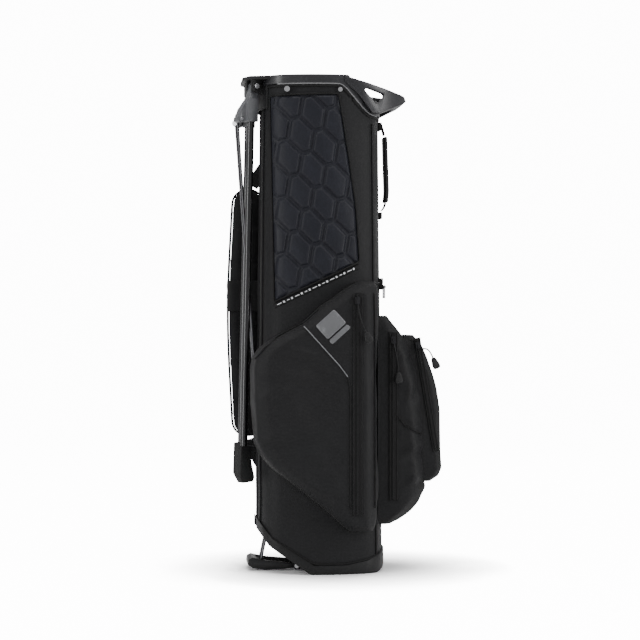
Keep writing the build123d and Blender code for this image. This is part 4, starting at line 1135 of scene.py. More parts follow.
@dataclass
class Pocket:
    """A sewn pocket: a cloth bulge given by rows from its foot to its top."""

    name: str
    side: Side
    rows: Sequence[Tuple[float, ...]]
    slot_node: str
    body_depth: float
    half: float = 0.0
    inner: float = 0.0
    fold: float = 0.0018
    seed: int = 3
    levels: int = 150
    places: int = 170
    soften: int = 14
    corner: float = 0.022
    calm: Sequence[Tuple[float, float, float, float, float]] = field(default_factory=tuple)
    draws: Sequence[Tuple[float, float, float, float, float, float]] = field(default_factory=tuple)

    def outline(self, z: float) -> np.ndarray:
        """Corner points of the cross section at a height, from one edge on the tube round to the other."""
        heights = [row[0] for row in self.rows]
        columns = list(zip(*self.rows))[1:]
        values = [float(np.interp(z, heights, column)) for column in columns]
        if self.side is Side.NEAR:
            front, back, share = values
            out = 0.107 + self.body_depth * share
            corner = 0.014 * min(1.0, max(0.2, share))
            return np.array(
                [
                    (front + 0.052, -0.060),
                    (front + 0.011, -0.0690),
                    (front, -0.0828),
                    (front + corner * 0.5, -out + corner),
                    (front + corner * 2.2, -out),
                    (back - corner * 1.5, -out),
                    (back, -out + corner * 1.5),
                    (back, -0.075),
                    (back - 0.02, -0.055),
                ]
            )
        depth, share = values
        half = self.half * share
        outer = 0.117 + depth
        corner = min(self.corner, max(0.003, (outer - self.inner) * 0.4))
        return np.array(
            [
                (self.inner, -half),
                (outer - corner, -half),
                (outer, -half + corner),
                (outer, half - corner),
                (outer - corner, half),
                (self.inner, half),
            ]
        )

    def grid(self) -> np.ndarray:
        """Cloth surface: outlines resampled evenly, blurred round and up, then folded along their normals."""
        low = self.rows[0][0]
        high = self.rows[-1][0]
        bend = np.linspace(0, np.pi, self.levels)
        rise = 0.5 * (0.5 - 0.5 * np.cos(bend)) + np.linspace(0, 0.5, self.levels)
        heights = low + (high - low) * rise
        flat = np.stack([even_path(self.outline(float(z)), self.places) for z in heights])
        flat = smooth_rows(flat, self.soften, axis=1)
        flat = smooth_rows(flat, 3, axis=0)
        grid = np.concatenate([flat, np.repeat(heights[:, None, None], self.places, axis=1)], axis=2)
        along = np.gradient(grid, axis=1)
        up = np.gradient(grid, axis=0)
        normal = np.cross(along, up)
        normal /= np.linalg.norm(normal, axis=2, keepdims=True) + 1e-12
        run = np.linspace(0, 1, self.places)[None, :] * 0.5
        share = np.linspace(0, 1, self.levels)[:, None]
        fade = np.clip(np.sin(np.pi * share) * 3, 0, 1) * np.clip(np.sin(np.pi * run / 0.5) * 3, 0, 1)
        for x0, z0, x1, z1, radius in self.calm:
            reach = (x1 - x0) ** 2 + (z1 - z0) ** 2
            onward = (grid[..., 0] - x0) * (x1 - x0) + (grid[..., 2] - z0) * (z1 - z0)
            share_on = np.clip(onward / reach, 0, 1)
            off_x = grid[..., 0] - x0 - share_on * (x1 - x0)
            off_z = grid[..., 2] - z0 - share_on * (z1 - z0)
            far = np.hypot(off_x, off_z)
            fade = fade * np.clip((far - radius) / 0.03, 0, 1) ** 1.5
        folds = creases(run, heights[:, None], self.seed) * self.fold
        fine = creases(run * 2.6, heights[:, None] * 2.6, self.seed + 40) * self.fold * 0.35
        total = folds + fine - 0.4 * self.fold + self.drawn(grid)
        grid = grid + normal * (total * fade)[..., None]
        return self.seat(grid)

    def drawn(self, grid: np.ndarray) -> np.ndarray:
        """Pulls in the cloth: each is a bell-shaped ridge with a hollow beside it, along a slanted line.

        Args:
            grid: the cloth's points.

        Returns:
            Height to add at each point.
        """
        total = np.zeros(grid.shape[:2])
        for x, z, degrees, reach, width, height in self.draws:
            turn = math.radians(degrees)
            dx = grid[..., 0] - x
            dz = grid[..., 2] - z
            along = dx * math.cos(turn) + dz * math.sin(turn)
            across = dz * math.cos(turn) - dx * math.sin(turn) + 0.6 * along**2
            bell = np.exp(-((across / width) ** 2)) - 0.8 * np.exp(-(((across + 1.9 * width) / width) ** 2))
            total += height * bell * np.exp(-((along / reach) ** 2)) * (grid[..., 1] < 0.0)
        return total

    @staticmethod
    def seat(grid: np.ndarray) -> np.ndarray:
        """Points that would lie inside the tube are brought out to just under its skin."""
        result = grid.copy()
        for row in range(grid.shape[0]):
            z = float(grid[row, 0, 2])
            points, _ = TUBE_SHAPE.ring(z, 0.0012)
            turn = np.arctan2(points[:, 1], points[:, 0])
            reach = np.hypot(points[:, 0], points[:, 1])
            order = np.argsort(turn)
            mine = np.arctan2(grid[row, :, 1], grid[row, :, 0])
            limit = np.interp(mine, turn[order], reach[order], period=2 * np.pi)
            own = np.hypot(grid[row, :, 0], grid[row, :, 1])
            grow = np.where(own < limit, limit / np.maximum(own, 1e-9), 1.0)
            result[row, :, 0] = grid[row, :, 0] * grow
            result[row, :, 1] = grid[row, :, 1] * grow
        return result

    def build(self) -> np.ndarray:
        """Make the pocket's cloth and return its grid."""
        grid = self.grid()
        first = grid[:1].copy()
        last = grid[-1:].copy()
        for end, step in ((first, 0.004), (last, -0.004)):
            middle = end.mean(axis=1, keepdims=True)
            middle[..., :2] *= 0.86
            end[..., :2] = middle[..., :2] + (end[..., :2] - middle[..., :2]) * 0.35
            end[..., 2] += step
        closed = self.seat(np.concatenate([first, grid, last], axis=0))
        cloth = sheet_mesh(self.name + "_cloth", closed, out_from=middle_line(closed[..., 2]))
        thicken(cloth, 0.0014)
        finish_piece(cloth, "bag", POCKET, "pocket_fabric", self.slot_node)
        return grid


APPAREL_ROWS = [
    (0.078, 0.046, 0.088, 0.28),
    (0.083, 0.036, 0.091, 0.58),
    (0.091, 0.026, 0.094, 0.82),
    (0.102, 0.014, 0.095, 0.96),
    (0.118, -0.004, 0.096, 1.0),
    (0.150, -0.044, 0.097, 1.0),
    (0.190, -0.095, 0.097, 1.0),
    (0.212, -0.113, 0.097, 1.0),
    (0.235, -0.125, 0.097, 1.0),
    (0.300, -0.129, 0.097, 1.0),
    (0.368, -0.131, 0.097, 1.0),
    (0.388, -0.128, 0.097, 1.0),
    (0.404, -0.116, 0.097, 1.0),
    (0.424, -0.084, 0.097, 1.0),
    (0.450, -0.036, 0.097, 1.0),
    (0.478, -0.008, 0.097, 1.0),
    (0.498, 0.020, 0.096, 0.97),
    (0.511, 0.042, 0.095, 0.75),
    (0.520, 0.060, 0.092, 0.30),
]
BALL_ROWS = [
    (0.084, 0.010, 0.80),
    (0.092, 0.026, 0.92),
    (0.104, 0.043, 0.97),
    (0.124, 0.062, 1.0),
    (0.150, 0.076, 1.0),
    (0.240, 0.072, 1.0),
    (0.300, 0.069, 1.0),
    (0.345, 0.064, 1.0),
    (0.385, 0.055, 1.0),
    (0.404, 0.046, 1.0),
    (0.421, 0.034, 1.0),
    (0.438, 0.020, 0.99),
    (0.451, 0.009, 0.95),
    (0.460, 0.002, 0.88),
]
ACCESSORY_ROWS = [
    (0.160, 0.084, 0.90),
    (0.170, 0.098, 0.97),
    (0.185, 0.104, 1.0),
    (0.215, 0.102, 1.0),
    (0.290, 0.101, 1.0),
    (0.330, 0.095, 1.0),
    (0.352, 0.089, 1.0),
    (0.385, 0.077, 1.0),
    (0.408, 0.067, 0.98),
    (0.425, 0.052, 0.90),
]
APPAREL_FACE = -0.147
BALL_FACE = -0.078
ACCESSORY_FACE = -0.060


@dataclass
class Zip:
    """Coil, welts and puller of one straight zip on a flat face."""

    name: str
    top: Tuple[float, float]
    low: Tuple[float, float]
    face: float
    cord_points: Sequence[Point]
    cord_length: float
    half_width: float
    grip_length: float = 0.020
    pitch: float = 0.0022
    cord_radius: float = 0.0014

    @property
    def body(self) -> str:
        """The body that the slider, the cord and the grip ride on."""
        return self.name + "_zip_slider"

    def build(self) -> None:
        """Make the coil teeth, the welts and the cord with its grip."""
        start = np.array(self.top)
        finish = np.array(self.low)
        length = float(np.linalg.norm(finish - start))
        ahead = (finish - start) / length
        side = np.array([-ahead[1], ahead[0]])
        finish_piece(self.teeth(start, ahead, side, length), "bag", TOOTH, "zip_tape")
        for letter, way in (("a", -1), ("b", 1)):
            edge = self.edge(start, finish, side * way)
            out = facing(NEAR_WAY, len(edge))
            name = self.name + "_zip_welt_" + letter
            rope = swept(name, edge, round_profile(0.0016, 8), up=NEAR_WAY)
            finish_piece(rope, "bag", WEB_PLAIN, "zip_tape")
            beside = edge + out * 0.0009 + self.shift(side * way, 0.0035)
            finish_piece(stitch_row(name + "_threads", beside, out), "bag", THREAD, "zip_tape")
        self.pull()

    def teeth(
        self, start: np.ndarray, ahead: np.ndarray, side: np.ndarray, length: float
    ) -> bpy.types.Object:
        """Coil teeth: small boxes along the zip, set left and right by turns.

        Args:
            start: top of the zip as (x, z).
            ahead: direction of the zip.
            side: direction across it.
            length: length of the zip.

        Returns:
            One mesh of all the teeth.
        """
        count = int(length / self.pitch)
        mids = np.linspace(0.003, length - 0.003, count)
        step = np.where(np.arange(count) % 2 == 0, 1.0, -1.0) * 0.0007
        centre = start + mids[:, None] * ahead + step[:, None] * side
        box = np.array(BOX_CORNERS)
        flat = centre[:, None] + box[None, :, 0:1] * ahead * 0.0007 + box[None, :, 1:2] * side * 0.0015
        y = np.broadcast_to(self.face - 0.0023 - box[None, :, 2] * 0.0010, flat.shape[:2])
        verts = np.stack([flat[..., 0], y, flat[..., 1]], axis=-1)
        return copies_mesh(self.name + "_zip_teeth", verts, BOX_FACES)

    @staticmethod
    def shift(side: np.ndarray, far: float) -> np.ndarray:
        """Move sideways along the face."""
        return np.array([side[0] * far, 0.0, side[1] * far])

    def edge(self, start: np.ndarray, finish: np.ndarray, side: np.ndarray) -> np.ndarray:
        """Line along one side of the tape."""
        run = np.linspace(0, 1, 60)[:, None]
        flat = start + (finish - start) * run + side * self.half_width
        return np.stack([flat[:, 0], np.full(60, self.face - 0.0004), flat[:, 1]], axis=1)

    def pull(self) -> None:
        """Cord from the slider to its moulded grip."""
        points = np.array(self.cord_points)
        curve = bpy.data.curves.new(self.name + "_cord", "CURVE")
        curve.dimensions = "3D"
        curve.bevel_depth = self.cord_radius
        curve.bevel_resolution = 4
        curve.resolution_u = 10
        spline = curve.splines.new("NURBS")
        spline.points.add(len(points) - 1)
        for point, place in zip(spline.points, points):
            point.co = (place[0], place[1], place[2], 1.0)
        spline.order_u = 3
        spline.use_endpoint_u = True
        cord = placed(self.name + "_cord", curve)
        grip = self.grip(points)
        finish_piece(grip, self.body, GRIP, "grip_rubber", self.name + "_pull_grip")
        DRESS.dress(cord, CORD)
        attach(cord, self.body)
        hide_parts(self.name + "_pull_cord")

    def grip(self, points: np.ndarray) -> bpy.types.Object:
        """Moulded grip: a flattened drop with ridges across, along the cord's last direction."""
        ahead = points[-1] - points[-2]
        ahead /= np.linalg.norm(ahead)
        run = np.linspace(0.0, 1.0, 46)
        path = points[-1] + ahead * (run[:, None] * self.grip_length)
        side = np.cross(ahead, np.array(NEAR_WAY))
        side /= np.linalg.norm(side)
        thin = np.cross(side, ahead)
        taper = np.sqrt(np.clip(1 - ((run - 0.5) / 0.505) ** 8, 0.02, 1))
        width = (0.0032 + 0.0038 * np.clip(run * 1.6, 0, 1) ** 0.7) * taper
        ridge = 0.00035 * np.sin(run * 2 * np.pi * 6) * (run > 0.25) * (run < 0.9)
        deep = (0.0024 + ridge) * taper
        c, s = rounded_square(20, 0.6, 0.6)
        across = side * (width[:, None] * c)[..., None] + thin * (deep[:, None] * s)[..., None]
        start = np.repeat(path[:1][:, None], len(c), axis=1)
        rings = np.concatenate([start, path[:, None] + across])
        piece = sheet_mesh(self.name + "_grip", rings, closed=True)
        merge(piece)
        return piece


@dataclass
class Pad:
    """Stuffed pad: a rounded form puffed by a short cloth run, with sewn channels after it.

    The pad is given by its middle as (x, y), its low and high ends, its width and
    thickness, and `lean`, which shifts it in x along its length.
    """

    name: str
    node: str
    centre: Tuple[float, float]
    low: float
    high: float
    width: float
    thick: float
    lean: Callable[[np.ndarray], np.ndarray]
    swell: float = 0.005
    channels: Sequence[float] = field(default_factory=tuple)

    def shape(self, run: np.ndarray) -> np.ndarray:
        """Share of the full width along the pad: full in the middle, round at both ends, waisted a little."""
        end = self.width / 2 / (self.high - self.low)
        near = np.clip(np.minimum(run, 1 - run) / end, 0.0, 1.0)
        return np.sqrt(np.clip(1 - (1 - near) ** 2.6, 0.0, 1.0)) * (1 - 0.06 * np.cos(2 * np.pi * run))

    def form(self) -> bpy.types.Object:
        """Starting form: rounded oblong outlines stacked along the pad, pinched shut at both ends."""
        run = 0.5 - 0.5 * np.cos(np.linspace(0, np.pi, 80))
        z = self.low + (self.high - self.low) * run
        close = self.shape(run)
        c, s = rounded_square(48, 0.5, 0.55)
        shift = self.lean(run)
        x = self.centre[0] + shift[:, None] + c[None] * (self.width / 2 * close)[:, None]
        y = self.centre[1] + s[None] * (self.thick / 2 * close**0.5)[:, None]
        grid = np.stack([x, y, np.broadcast_to(z[:, None], x.shape)], axis=-1)
        piece = sheet_mesh(self.name, grid, closed=True)
        merge(piece)
        return piece

    def build(self) -> bpy.types.Object:
        """Make the pad, puff it, press its channels and bind its edge."""
        piece = self.form()
        remesh = piece.modifiers.new("voxels", "REMESH")
        remesh.mode = "VOXEL"
        remesh.voxel_size = 0.0050
        applied(piece)
        puff(piece, self.swell)
        self.press(piece)
        smooth = piece.modifiers.new("round", "SUBSURF")
        smooth.levels = 1
        smooth.render_levels = 1
        applied(piece)
        shade_smooth(piece.data)
        finish_piece(piece, "bag", PAD, "pad_fabric", self.node)
        self.binding()
        return piece

    def press(self, piece: bpy.types.Object) -> None:
        """Sewn channels: each pulls the faces in by a narrow bell-shaped dip."""
        points = read_points(piece)
        for z in self.channels:
            dip = 0.32 * np.exp(-(((points[:, 2] - z) / 0.0055) ** 2))
            points[:, 1] = self.centre[1] + (points[:, 1] - self.centre[1]) * (1 - dip)
        write_points(piece, points)

    def binding(self) -> None:
        """Narrow bound edge round the pad, in its middle plane."""
        half = 0.5 - 0.5 * np.cos(np.linspace(0, np.pi, 90))
        run = np.concatenate([half, half[::-1]])
        side = np.concatenate([np.ones(90), -np.ones(90)])
        z = self.low - 0.001 + (self.high - self.low + 0.002) * run
        x = self.centre[0] + self.lean(run) + side * (self.shape(run) * self.width / 2 + 0.0022)
        path = np.stack([x, np.full(180, self.centre[1]), z], axis=1)
        path = smooth_rows(even_path(path, 240), 3)
        path = np.concatenate([path, path[:1]])
        rope = swept(self.name + "_binding", path, round_profile(0.0022, 8), up=FAR_WAY)
        finish_piece(rope, "bag", WEB_PLAIN, "pad_fabric")


CLOTH_FRAMES = 20


def puff(piece: bpy.types.Object, cap: float) -> None:
    """Swell a closed mesh with a short cloth run under inner pressure.

    Args:
        piece: the mesh to swell, changed in place.
        cap: how far a point may move.
    """
    before = read_points(piece)
    out = read_points(piece, "normal")
    cloth = piece.modifiers.new("puff", "CLOTH")
    cloth.settings.quality = 5
    cloth.settings.use_pressure = True
    cloth.settings.uniform_pressure_force = 4.0
    cloth.settings.effector_weights.gravity = 0.0
    cloth.settings.tension_stiffness = 12.0
    cloth.settings.bending_stiffness = 0.6
    for number in range(1, CLOTH_FRAMES + 1):
        bpy.context.scene.frame_set(number)
    applied(piece)
    move = read_points(piece) - before
    rise = np.clip(np.sum(move * out, axis=1, keepdims=True), 0.0, cap)
    write_points(piece, before + out * rise)
    bpy.context.scene.frame_set(1)


def band(name: str, path: np.ndarray, width: float, thick: float, up: Point) -> bpy.types.Object:
    """Flat webbing carried along a path, its broad face towards `up`."""
    return swept(name, path, band_profile(width, thick, 0.12), up=up)


def bowed(points: Sequence[Point], count: int = 40) -> np.ndarray:
    """Smooth line near a few points: the polyline, evenly spaced and blurred, ends held."""
    return smooth_rows(even_path(np.array(points, dtype=float), count), 40)


@dataclass
class Straps:
    """Shoulder straps, hip pad and their fittings on the far side."""

    pad_y: float = 0.130
    front_x: float = -0.121
    back_x: float = 0.0842
    pad_low: float = 0.232
    pad_high: float = 0.700
    hub_y: float = 0.1096
    web_width: float = 0.024
    web_thick: float = 0.0019

    def build(self) -> None:
        """Make the pads, then the webbing, keeper and anchors."""
        for name, node, x, way in (
            ("strap_pad_front", "shoulder_pad_front", self.front_x, -1.0),
            ("strap_pad_back", "shoulder_pad_back", self.back_x, 1.0),
        ):
            pad = Pad(
                name,
                node,
                (x, self.pad_y),
                self.pad_low + 0.003,
                self.pad_high - 0.003,
                0.058,
                0.019,
                lambda run, way=way: way * 0.006 * np.sin(np.pi * run),
                channels=(0.300, 0.370, 0.440, 0.560, 0.630),
            )
            pad.build()
        hip = Pad(
            "hip_cushion",
            "hip_pad",
            (-0.002, 0.1195),
            0.404,
            0.586,
            0.086,
            0.019,
            lambda run: run * 0.0,
            channels=(0.450, 0.495, 0.540),
        )
        hip.build()
        self.webbing()
        self.keeper()
        finish_piece(softened("strap_hub", 0.0022, 3), "bag", FRAME, "frame_plastic", "strap_hub")

    def webbing(self) -> None:
        """Four runs of flat webbing between the hub, the pads and the low anchors."""
        bands: List[bpy.types.Object] = []
        for side, x, hub_x in (("front", self.front_x, -0.026), ("back", self.back_x, 0.026)):
            middle = ((x + hub_x) / 2 + math.copysign(0.003, x), (self.hub_y + self.pad_y) / 2 + 0.004, 0.762)
            upper = ((hub_x, self.hub_y + 0.0005, 0.800), middle, (x, self.pad_y, self.pad_high - 0.004))
            foot = (x * 0.55, 0.112, 0.140)
            lower = ((x, self.pad_y, self.pad_low + 0.004), (x * 0.86, 0.128, 0.190), foot)
            for line in (upper, lower):
                bands.append(band("run", bowed(line), self.web_width, self.web_thick, up=FAR_WAY))
            buckle = self.buckle((x * 0.93, self.pad_y - 0.0005, self.pad_low - 0.018))
            finish_piece(buckle, "bag", FRAME, "frame_plastic")
            buckle.name = "strap_adjuster_" + side
        finish_piece(joined("carry_webbing", bands), "bag", WEB, "webbing", "strap_webbing")
        anchors: List[bpy.types.Object] = []
        for x in (self.front_x, self.back_x):
            places = [(x * 0.55, 0.1115, 0.150), (x * 0.55, 0.1125, 0.136), (x * 0.55, 0.1095, 0.128)]
            anchors.append(band("anchor", bowed(places, 14), 0.030, 0.0034, up=FAR_WAY))
        finish_piece(joined("carry_anchor_tabs", anchors), "bag", WEB, "webbing", "strap_anchors")

    @staticmethod
    def buckle(centre: Point) -> bpy.types.Object:
        """Three-bar slide: rounded bars round two slots, drawn as swept rods."""
        half, tall = 0.0155, 0.0125
        ends = [((-half, step), (half, step)) for step in (-0.011, 0.0, 0.011)]
        ends += [((edge, -tall), (edge, tall)) for edge in (-half, half)]
        profile = band_profile(0.0034, 0.0042, 0.0, 16)
        bars: List[bpy.types.Object] = []
        for (x0, z0), (x1, z1) in ends:
            offsets = np.stack([np.linspace(x0, x1, 14), np.zeros(14), np.linspace(z0, z1, 14)], axis=1)
            bars.append(swept("bar", offsets + np.array(centre), profile, up=FAR_WAY))
        return joined("strap_adjuster", bars)

    def keeper(self) -> None:
        """Elastic sleeve round the front pad: a rounded tube with a slight ripple."""
        rows = 26
        z = np.linspace(0.468, 0.526, rows)
        c, s = rounded_square(64, 0.35, 0.45)
        bulge = 1.0 + 0.012 * np.cos(np.linspace(-np.pi, np.pi, rows) * 3)
        x = self.front_x - 0.0063 + c[None] * 0.0345 * bulge[:, None]
        y = self.pad_y + s[None] * 0.0155 * bulge[:, None]
        grid = np.stack([x, y, np.broadcast_to(z[:, None], x.shape)], axis=-1)
        centre = np.stack([np.full(rows, self.front_x), np.full(rows, self.pad_y), z], axis=1)
        sleeve = sheet_mesh("pad_band", grid, closed=True, out_from=centre)
        thicken(sleeve, 0.0016)
        finish_piece(sleeve, "bag", WEB, "webbing", "pad_keeper")


class BackTrim:
    """Lift strap down the back and the tab of the hanging ring."""

    @staticmethod
    def build() -> None:
        """Make the webbing, the grip sleeve, its anchors and the tab."""
        ends = (
            ((0.1132, 0.0, 0.8175), (0.1172, 0.0, 0.806), (0.1224, 0.0, 0.786)),
            ((0.1240, 0.0, 0.6685), (0.1215, 0.0, 0.657), (0.1143, 0.0, 0.6505)),
        )
        runs = [band("run", bowed(places, 24), 0.025, 0.0020, up=BACK_WAY) for places in ends]
        finish_piece(joined("lift_strap_webbing", runs), "bag", WEB, "webbing", "lift_webbing")
        for node, width, segments, look, slot in (
            ("lift_sleeve", 0.0022, 3, GRIP, "grip_rubber"),
            ("lift_anchors", 0.0008, 2, WEB_PLAIN, "webbing"),
            ("ring_tab", 0.0008, 2, WEB_PLAIN, "webbing"),
        ):
            finish_piece(softened(node, width, segments), "bag", look, slot, node)


@dataclass
class Dividers:
    """Cloth walls that part the mouth into four, sagging a little between their edges."""

    cross_x: float = 0.012
    sag: float = 0.004
    edge_gap: float = 0.0055
    front: float = -0.080
    top: float = 0.8415
    foot: float = 0.016

    def build(self) -> None:
        """Make both walls as one cloth piece."""
        v, z = np.meshgrid(np.linspace(0, 1, 50), np.linspace(0, 1, 90))
        place = -0.078 + 0.183 * v
        low = np.interp(place, [-0.078, -0.060, -0.010, 0.098, 0.106], [0.100, 0.064, 0.014, 0.014, 0.060])
        high = np.interp(place, [-0.078, 0.038, 0.068, 0.106], [self.top, self.top, 0.8110, 0.8055])
        height = low + (high - low) * z
        half_x, _ = TUBE_SHAPE.half(height)
        x = self.front + (half_x - self.edge_gap - self.front) * v
        y = self.sag * np.sin(np.pi * v) * np.sin(np.pi * z) * np.sin(v * 9 + z * 5)
        long_wall = sheet_mesh("wall", np.stack([x, y, height], axis=-1))
        height = self.foot + (self.top - self.foot) * z
        _, half_y = TUBE_SHAPE.half(height)
        y = (half_y - self.edge_gap) * (2 * v - 1)
        x = self.cross_x + self.sag * np.sin(2 * np.pi * v) * np.sin(np.pi * z) * np.cos(z * 6)
        cross_wall = sheet_mesh("wall", np.stack([x, y, height], axis=-1))
        walls = joined("divider_walls", [long_wall, cross_wall])
        thicken(walls, 0.0012, 0.0)
        finish_piece(walls, "bag", DIVIDER, "divider_fabric", "divider_panels")
        finish_piece(softened("divider_frame", 0.0020, 3), "bag", FRAME, "frame_plastic", "divider_frame")


@dataclass
class Mouldings:
    """Moulded and metal parts: collar, handle, base, bracket, legs, lever, rods and pins."""

    def build(self) -> None:
        """Round off the mouldings and dress the metal nodes."""
        for node, body, look, slot, width in (
            ("top_collar", "bag", FRAME, "frame_plastic", 0.0011),
            ("grab_handle", "bag", FRAME, "frame_plastic", 0.0016),
            ("base_tub", "bag", TUB, "tub_plastic", 0.0009),
            ("leg_bracket", "bag", BRACKET, "frame_plastic", 0.0008),
            ("leg_head_left", "leg_left", LEG_GREY, "leg_head_grey", 0.0012),
            ("leg_head_right", "leg_right", LEG_GREY, "leg_head_grey", 0.0012),
            ("leg_foot_left", "leg_left", RUBBER, "foot_rubber", 0.0016),
            ("leg_foot_right", "leg_right", RUBBER, "foot_rubber", 0.0016),
            ("foot_lever", "foot_lever", BRACKET, "frame_plastic", 0.0010),
        ):
            finish_piece(softened(node, width), body, look, slot, node)
        for node, look in (
            ("leg_tube_left", TUBE),
            ("leg_tube_right", TUBE),
            ("push_rod_left", ROD),
            ("push_rod_right", ROD),
            ("horn_pin_left", PIN),
            ("horn_pin_right", PIN),
            ("lever_hinge_pin", PIN),
            ("leg_pivot_bolts", PIN),
            ("panel_rivets", PIN),
            ("tab_ring", PIN),
            ("spine_stays", STAY),
            ("apparel_zip_tape", WEB_PLAIN),
            ("ball_zip_tape", WEB_PLAIN),
            ("accessory_zip_tape", WEB_PLAIN),
            ("apparel_slider", SLIDER),
            ("ball_slider", SLIDER),
            ("accessory_slider", SLIDER),
        ):
            DRESS.dress(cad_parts[node], look)
        self.painted_collar_highlight()

    @staticmethod
    def painted_collar_highlight() -> None:
        """Painted highlight along the collar's lower scoop: a thin light-coloured rope just under the collar's
        edge stands in for the light that the flange's edge catches.
        """
        run = np.linspace(0.101, -0.080, 90)
        height = line_height(COLLAR_LOW, run)
        height = smooth_rows(height, 3) - 0.0006
        y = -(TUBE_SHAPE.side_y(run, height) + 0.0019)
        for name, way in (("collar_highlight_near", 1.0), ("collar_highlight_far", -1.0)):
            path = np.stack([run, y * way, height], axis=1)
            rope = swept(name, path, round_profile(0.0012, 10), up=(0.0, -way, 0.0))
            finish_piece(rope, "bag", COLLAR_EDGE_HIGHLIGHT, "frame_plastic")


@dataclass
class PocketTrim:
    """Piping and stitched seams laid over the pockets' cloth."""

    lift: float = 0.0008
    patch_middle: Tuple[float, float] = (0.014, 0.440)
    patch_along: Tuple[float, float] = (0.669, -0.743)
    patch_half: float = 0.022
    patch_parts: Tuple[Tuple[float, float], ...] = ((-0.022, 0.010), (0.013, 0.022))
    patch_corner: float = 0.0035

    @staticmethod
    def near_cloth(grid: np.ndarray) -> np.ndarray:
        """The cloth's points on the near side."""
        cloth = grid.reshape(-1, 3)
        return cloth[cloth[:, 1] < -0.03]

    def line(self, grid: np.ndarray, points: Sequence[Tuple[float, float]], count: int = 80) -> np.ndarray:
        """Points on the near side of a pocket's cloth over a line of (x, z) places."""
        flat = even_path(np.array(points, dtype=float), count)
        cloth = self.near_cloth(grid)
        result = []
        for x, z in flat:
            near = np.argsort((cloth[:, 0] - x) ** 2 + (cloth[:, 2] - z) ** 2)[:6]
            result.append((x, float(cloth[near, 1].min()) - self.lift, z))
        path = np.array(result)
        path[:, 1] = smooth_rows(path[:, 1], 6)
        return path

    def seam(
        self,
        name: str,
        grid: np.ndarray,
        points: Sequence[Tuple[float, float]],
        radius: float = 0.0012,
        look: Look = WEB_PLAIN,
    ) -> None:
        """Piping with a row of stitches beside it.

        Args:
            name: the piping's name.
            grid: the cloth that it lies on.
            points: the (x, z) places that it passes.
            radius: the piping's radius.
            look: the piping's finish.
        """
        path = self.line(grid, points)
        rope = swept(name, path, round_profile(radius, 8), up=NEAR_WAY)
        finish_piece(rope, "bag", look, "pocket_fabric")
        out = facing(NEAR_WAY, len(path))
        ahead = np.gradient(path, axis=0)
        ahead /= np.linalg.norm(ahead, axis=1, keepdims=True)
        side = np.cross(ahead, out)
        threads = stitch_row(name + "_threads", path + side * (radius + 0.0022), out)
        finish_piece(threads, "bag", THREAD, "pocket_fabric")

    def patch(self, grid: np.ndarray) -> None:
        """Plain slanted patch of film in two pieces, laid over the clothing pocket's cloth."""
        cloth = self.near_cloth(grid)
        along = np.array(self.patch_along)
        away = np.array([-along[1], along[0]])
        middle_x, middle_z = self.patch_middle
        s, t = np.meshgrid(np.linspace(-1, 1, 30), np.linspace(-1, 1, 34))
        pieces: List[bpy.types.Object] = []
        for start, finish in self.patch_parts:
            half = (finish - start) / 2
            s_flat, t_flat = self.round_corners(s * half, t * self.patch_half, half)
            s_flat = s_flat + (start + finish) / 2
            x = middle_x + along[0] * s_flat + away[0] * t_flat
            z = middle_z + along[1] * s_flat + away[1] * t_flat
            far = (cloth[None, :, 0] - x.reshape(-1, 1)) ** 2 + (cloth[None, :, 2] - z.reshape(-1, 1)) ** 2
            near = np.argpartition(far, 5, axis=1)[:, :5]
            y = cloth[near, 1].min(axis=1).reshape(x.shape)
            y = smooth_rows(smooth_rows(y, 3), 3, axis=1) - 0.0011
            inner = middle_line(z, middle_x)
            pieces.append(sheet_mesh("film", np.stack([x, y, z], axis=-1), out_from=inner))
        film = joined("emblem_film_patch", pieces)
        thicken(film, 0.0009)
        finish_piece(film, "bag", FILM, "emblem_film", "emblem_patch")

    def round_corners(self, s: np.ndarray, t: np.ndarray, half: float) -> Tuple[np.ndarray, np.ndarray]:
        """Places of a rectangular sheet with its four corners drawn in to arcs.

        Args:
            s: places along the sheet, from its middle.
            t: places across it.
            half: half of the sheet's length.

        Returns:
            The new places along and across.
        """
        over_s = np.clip(np.abs(s) - (half - self.patch_corner), 0, None)
        over_t = np.clip(np.abs(t) - (self.patch_half - self.patch_corner), 0, None)
        reach = np.maximum(np.hypot(over_s, over_t), 1e-9)
        shrink = np.where(reach > 1e-8, np.maximum(over_s, over_t) / reach, 1.0)
        new_s = np.sign(s) * (np.abs(s) - over_s * (1 - shrink))
        return new_s, np.sign(t) * (np.abs(t) - over_t * (1 - shrink))

    def build(self, apparel: np.ndarray, ball: np.ndarray) -> None:
        """Patch and seams on the clothing pocket and the ball pocket."""
        self.patch(apparel)
        silver = [(-0.037, 0.441), (0.026, 0.371), (0.040, 0.352)]
        self.seam("apparel_bright_piping", apparel, silver, 0.0010, PIPING)
        front = [(0.040, 0.352), (0.044, 0.330), (0.044, 0.120)]
        self.seam("apparel_front_seam", apparel, front)
        edge = [(-0.122, 0.384), (-0.105, 0.404), (-0.080, 0.424), (-0.034, 0.448), (-0.010, 0.470)]
        self.seam("apparel_edge_seam", apparel, edge, 0.0013)
        self.seam("apparel_rear_seam", apparel, [(0.088, 0.500), (0.090, 0.400), (0.090, 0.120)])
        self.seam("ball_pleat_seam", ball, [(0.122, 0.300), (0.150, 0.262), (0.182, 0.246)], 0.0011)


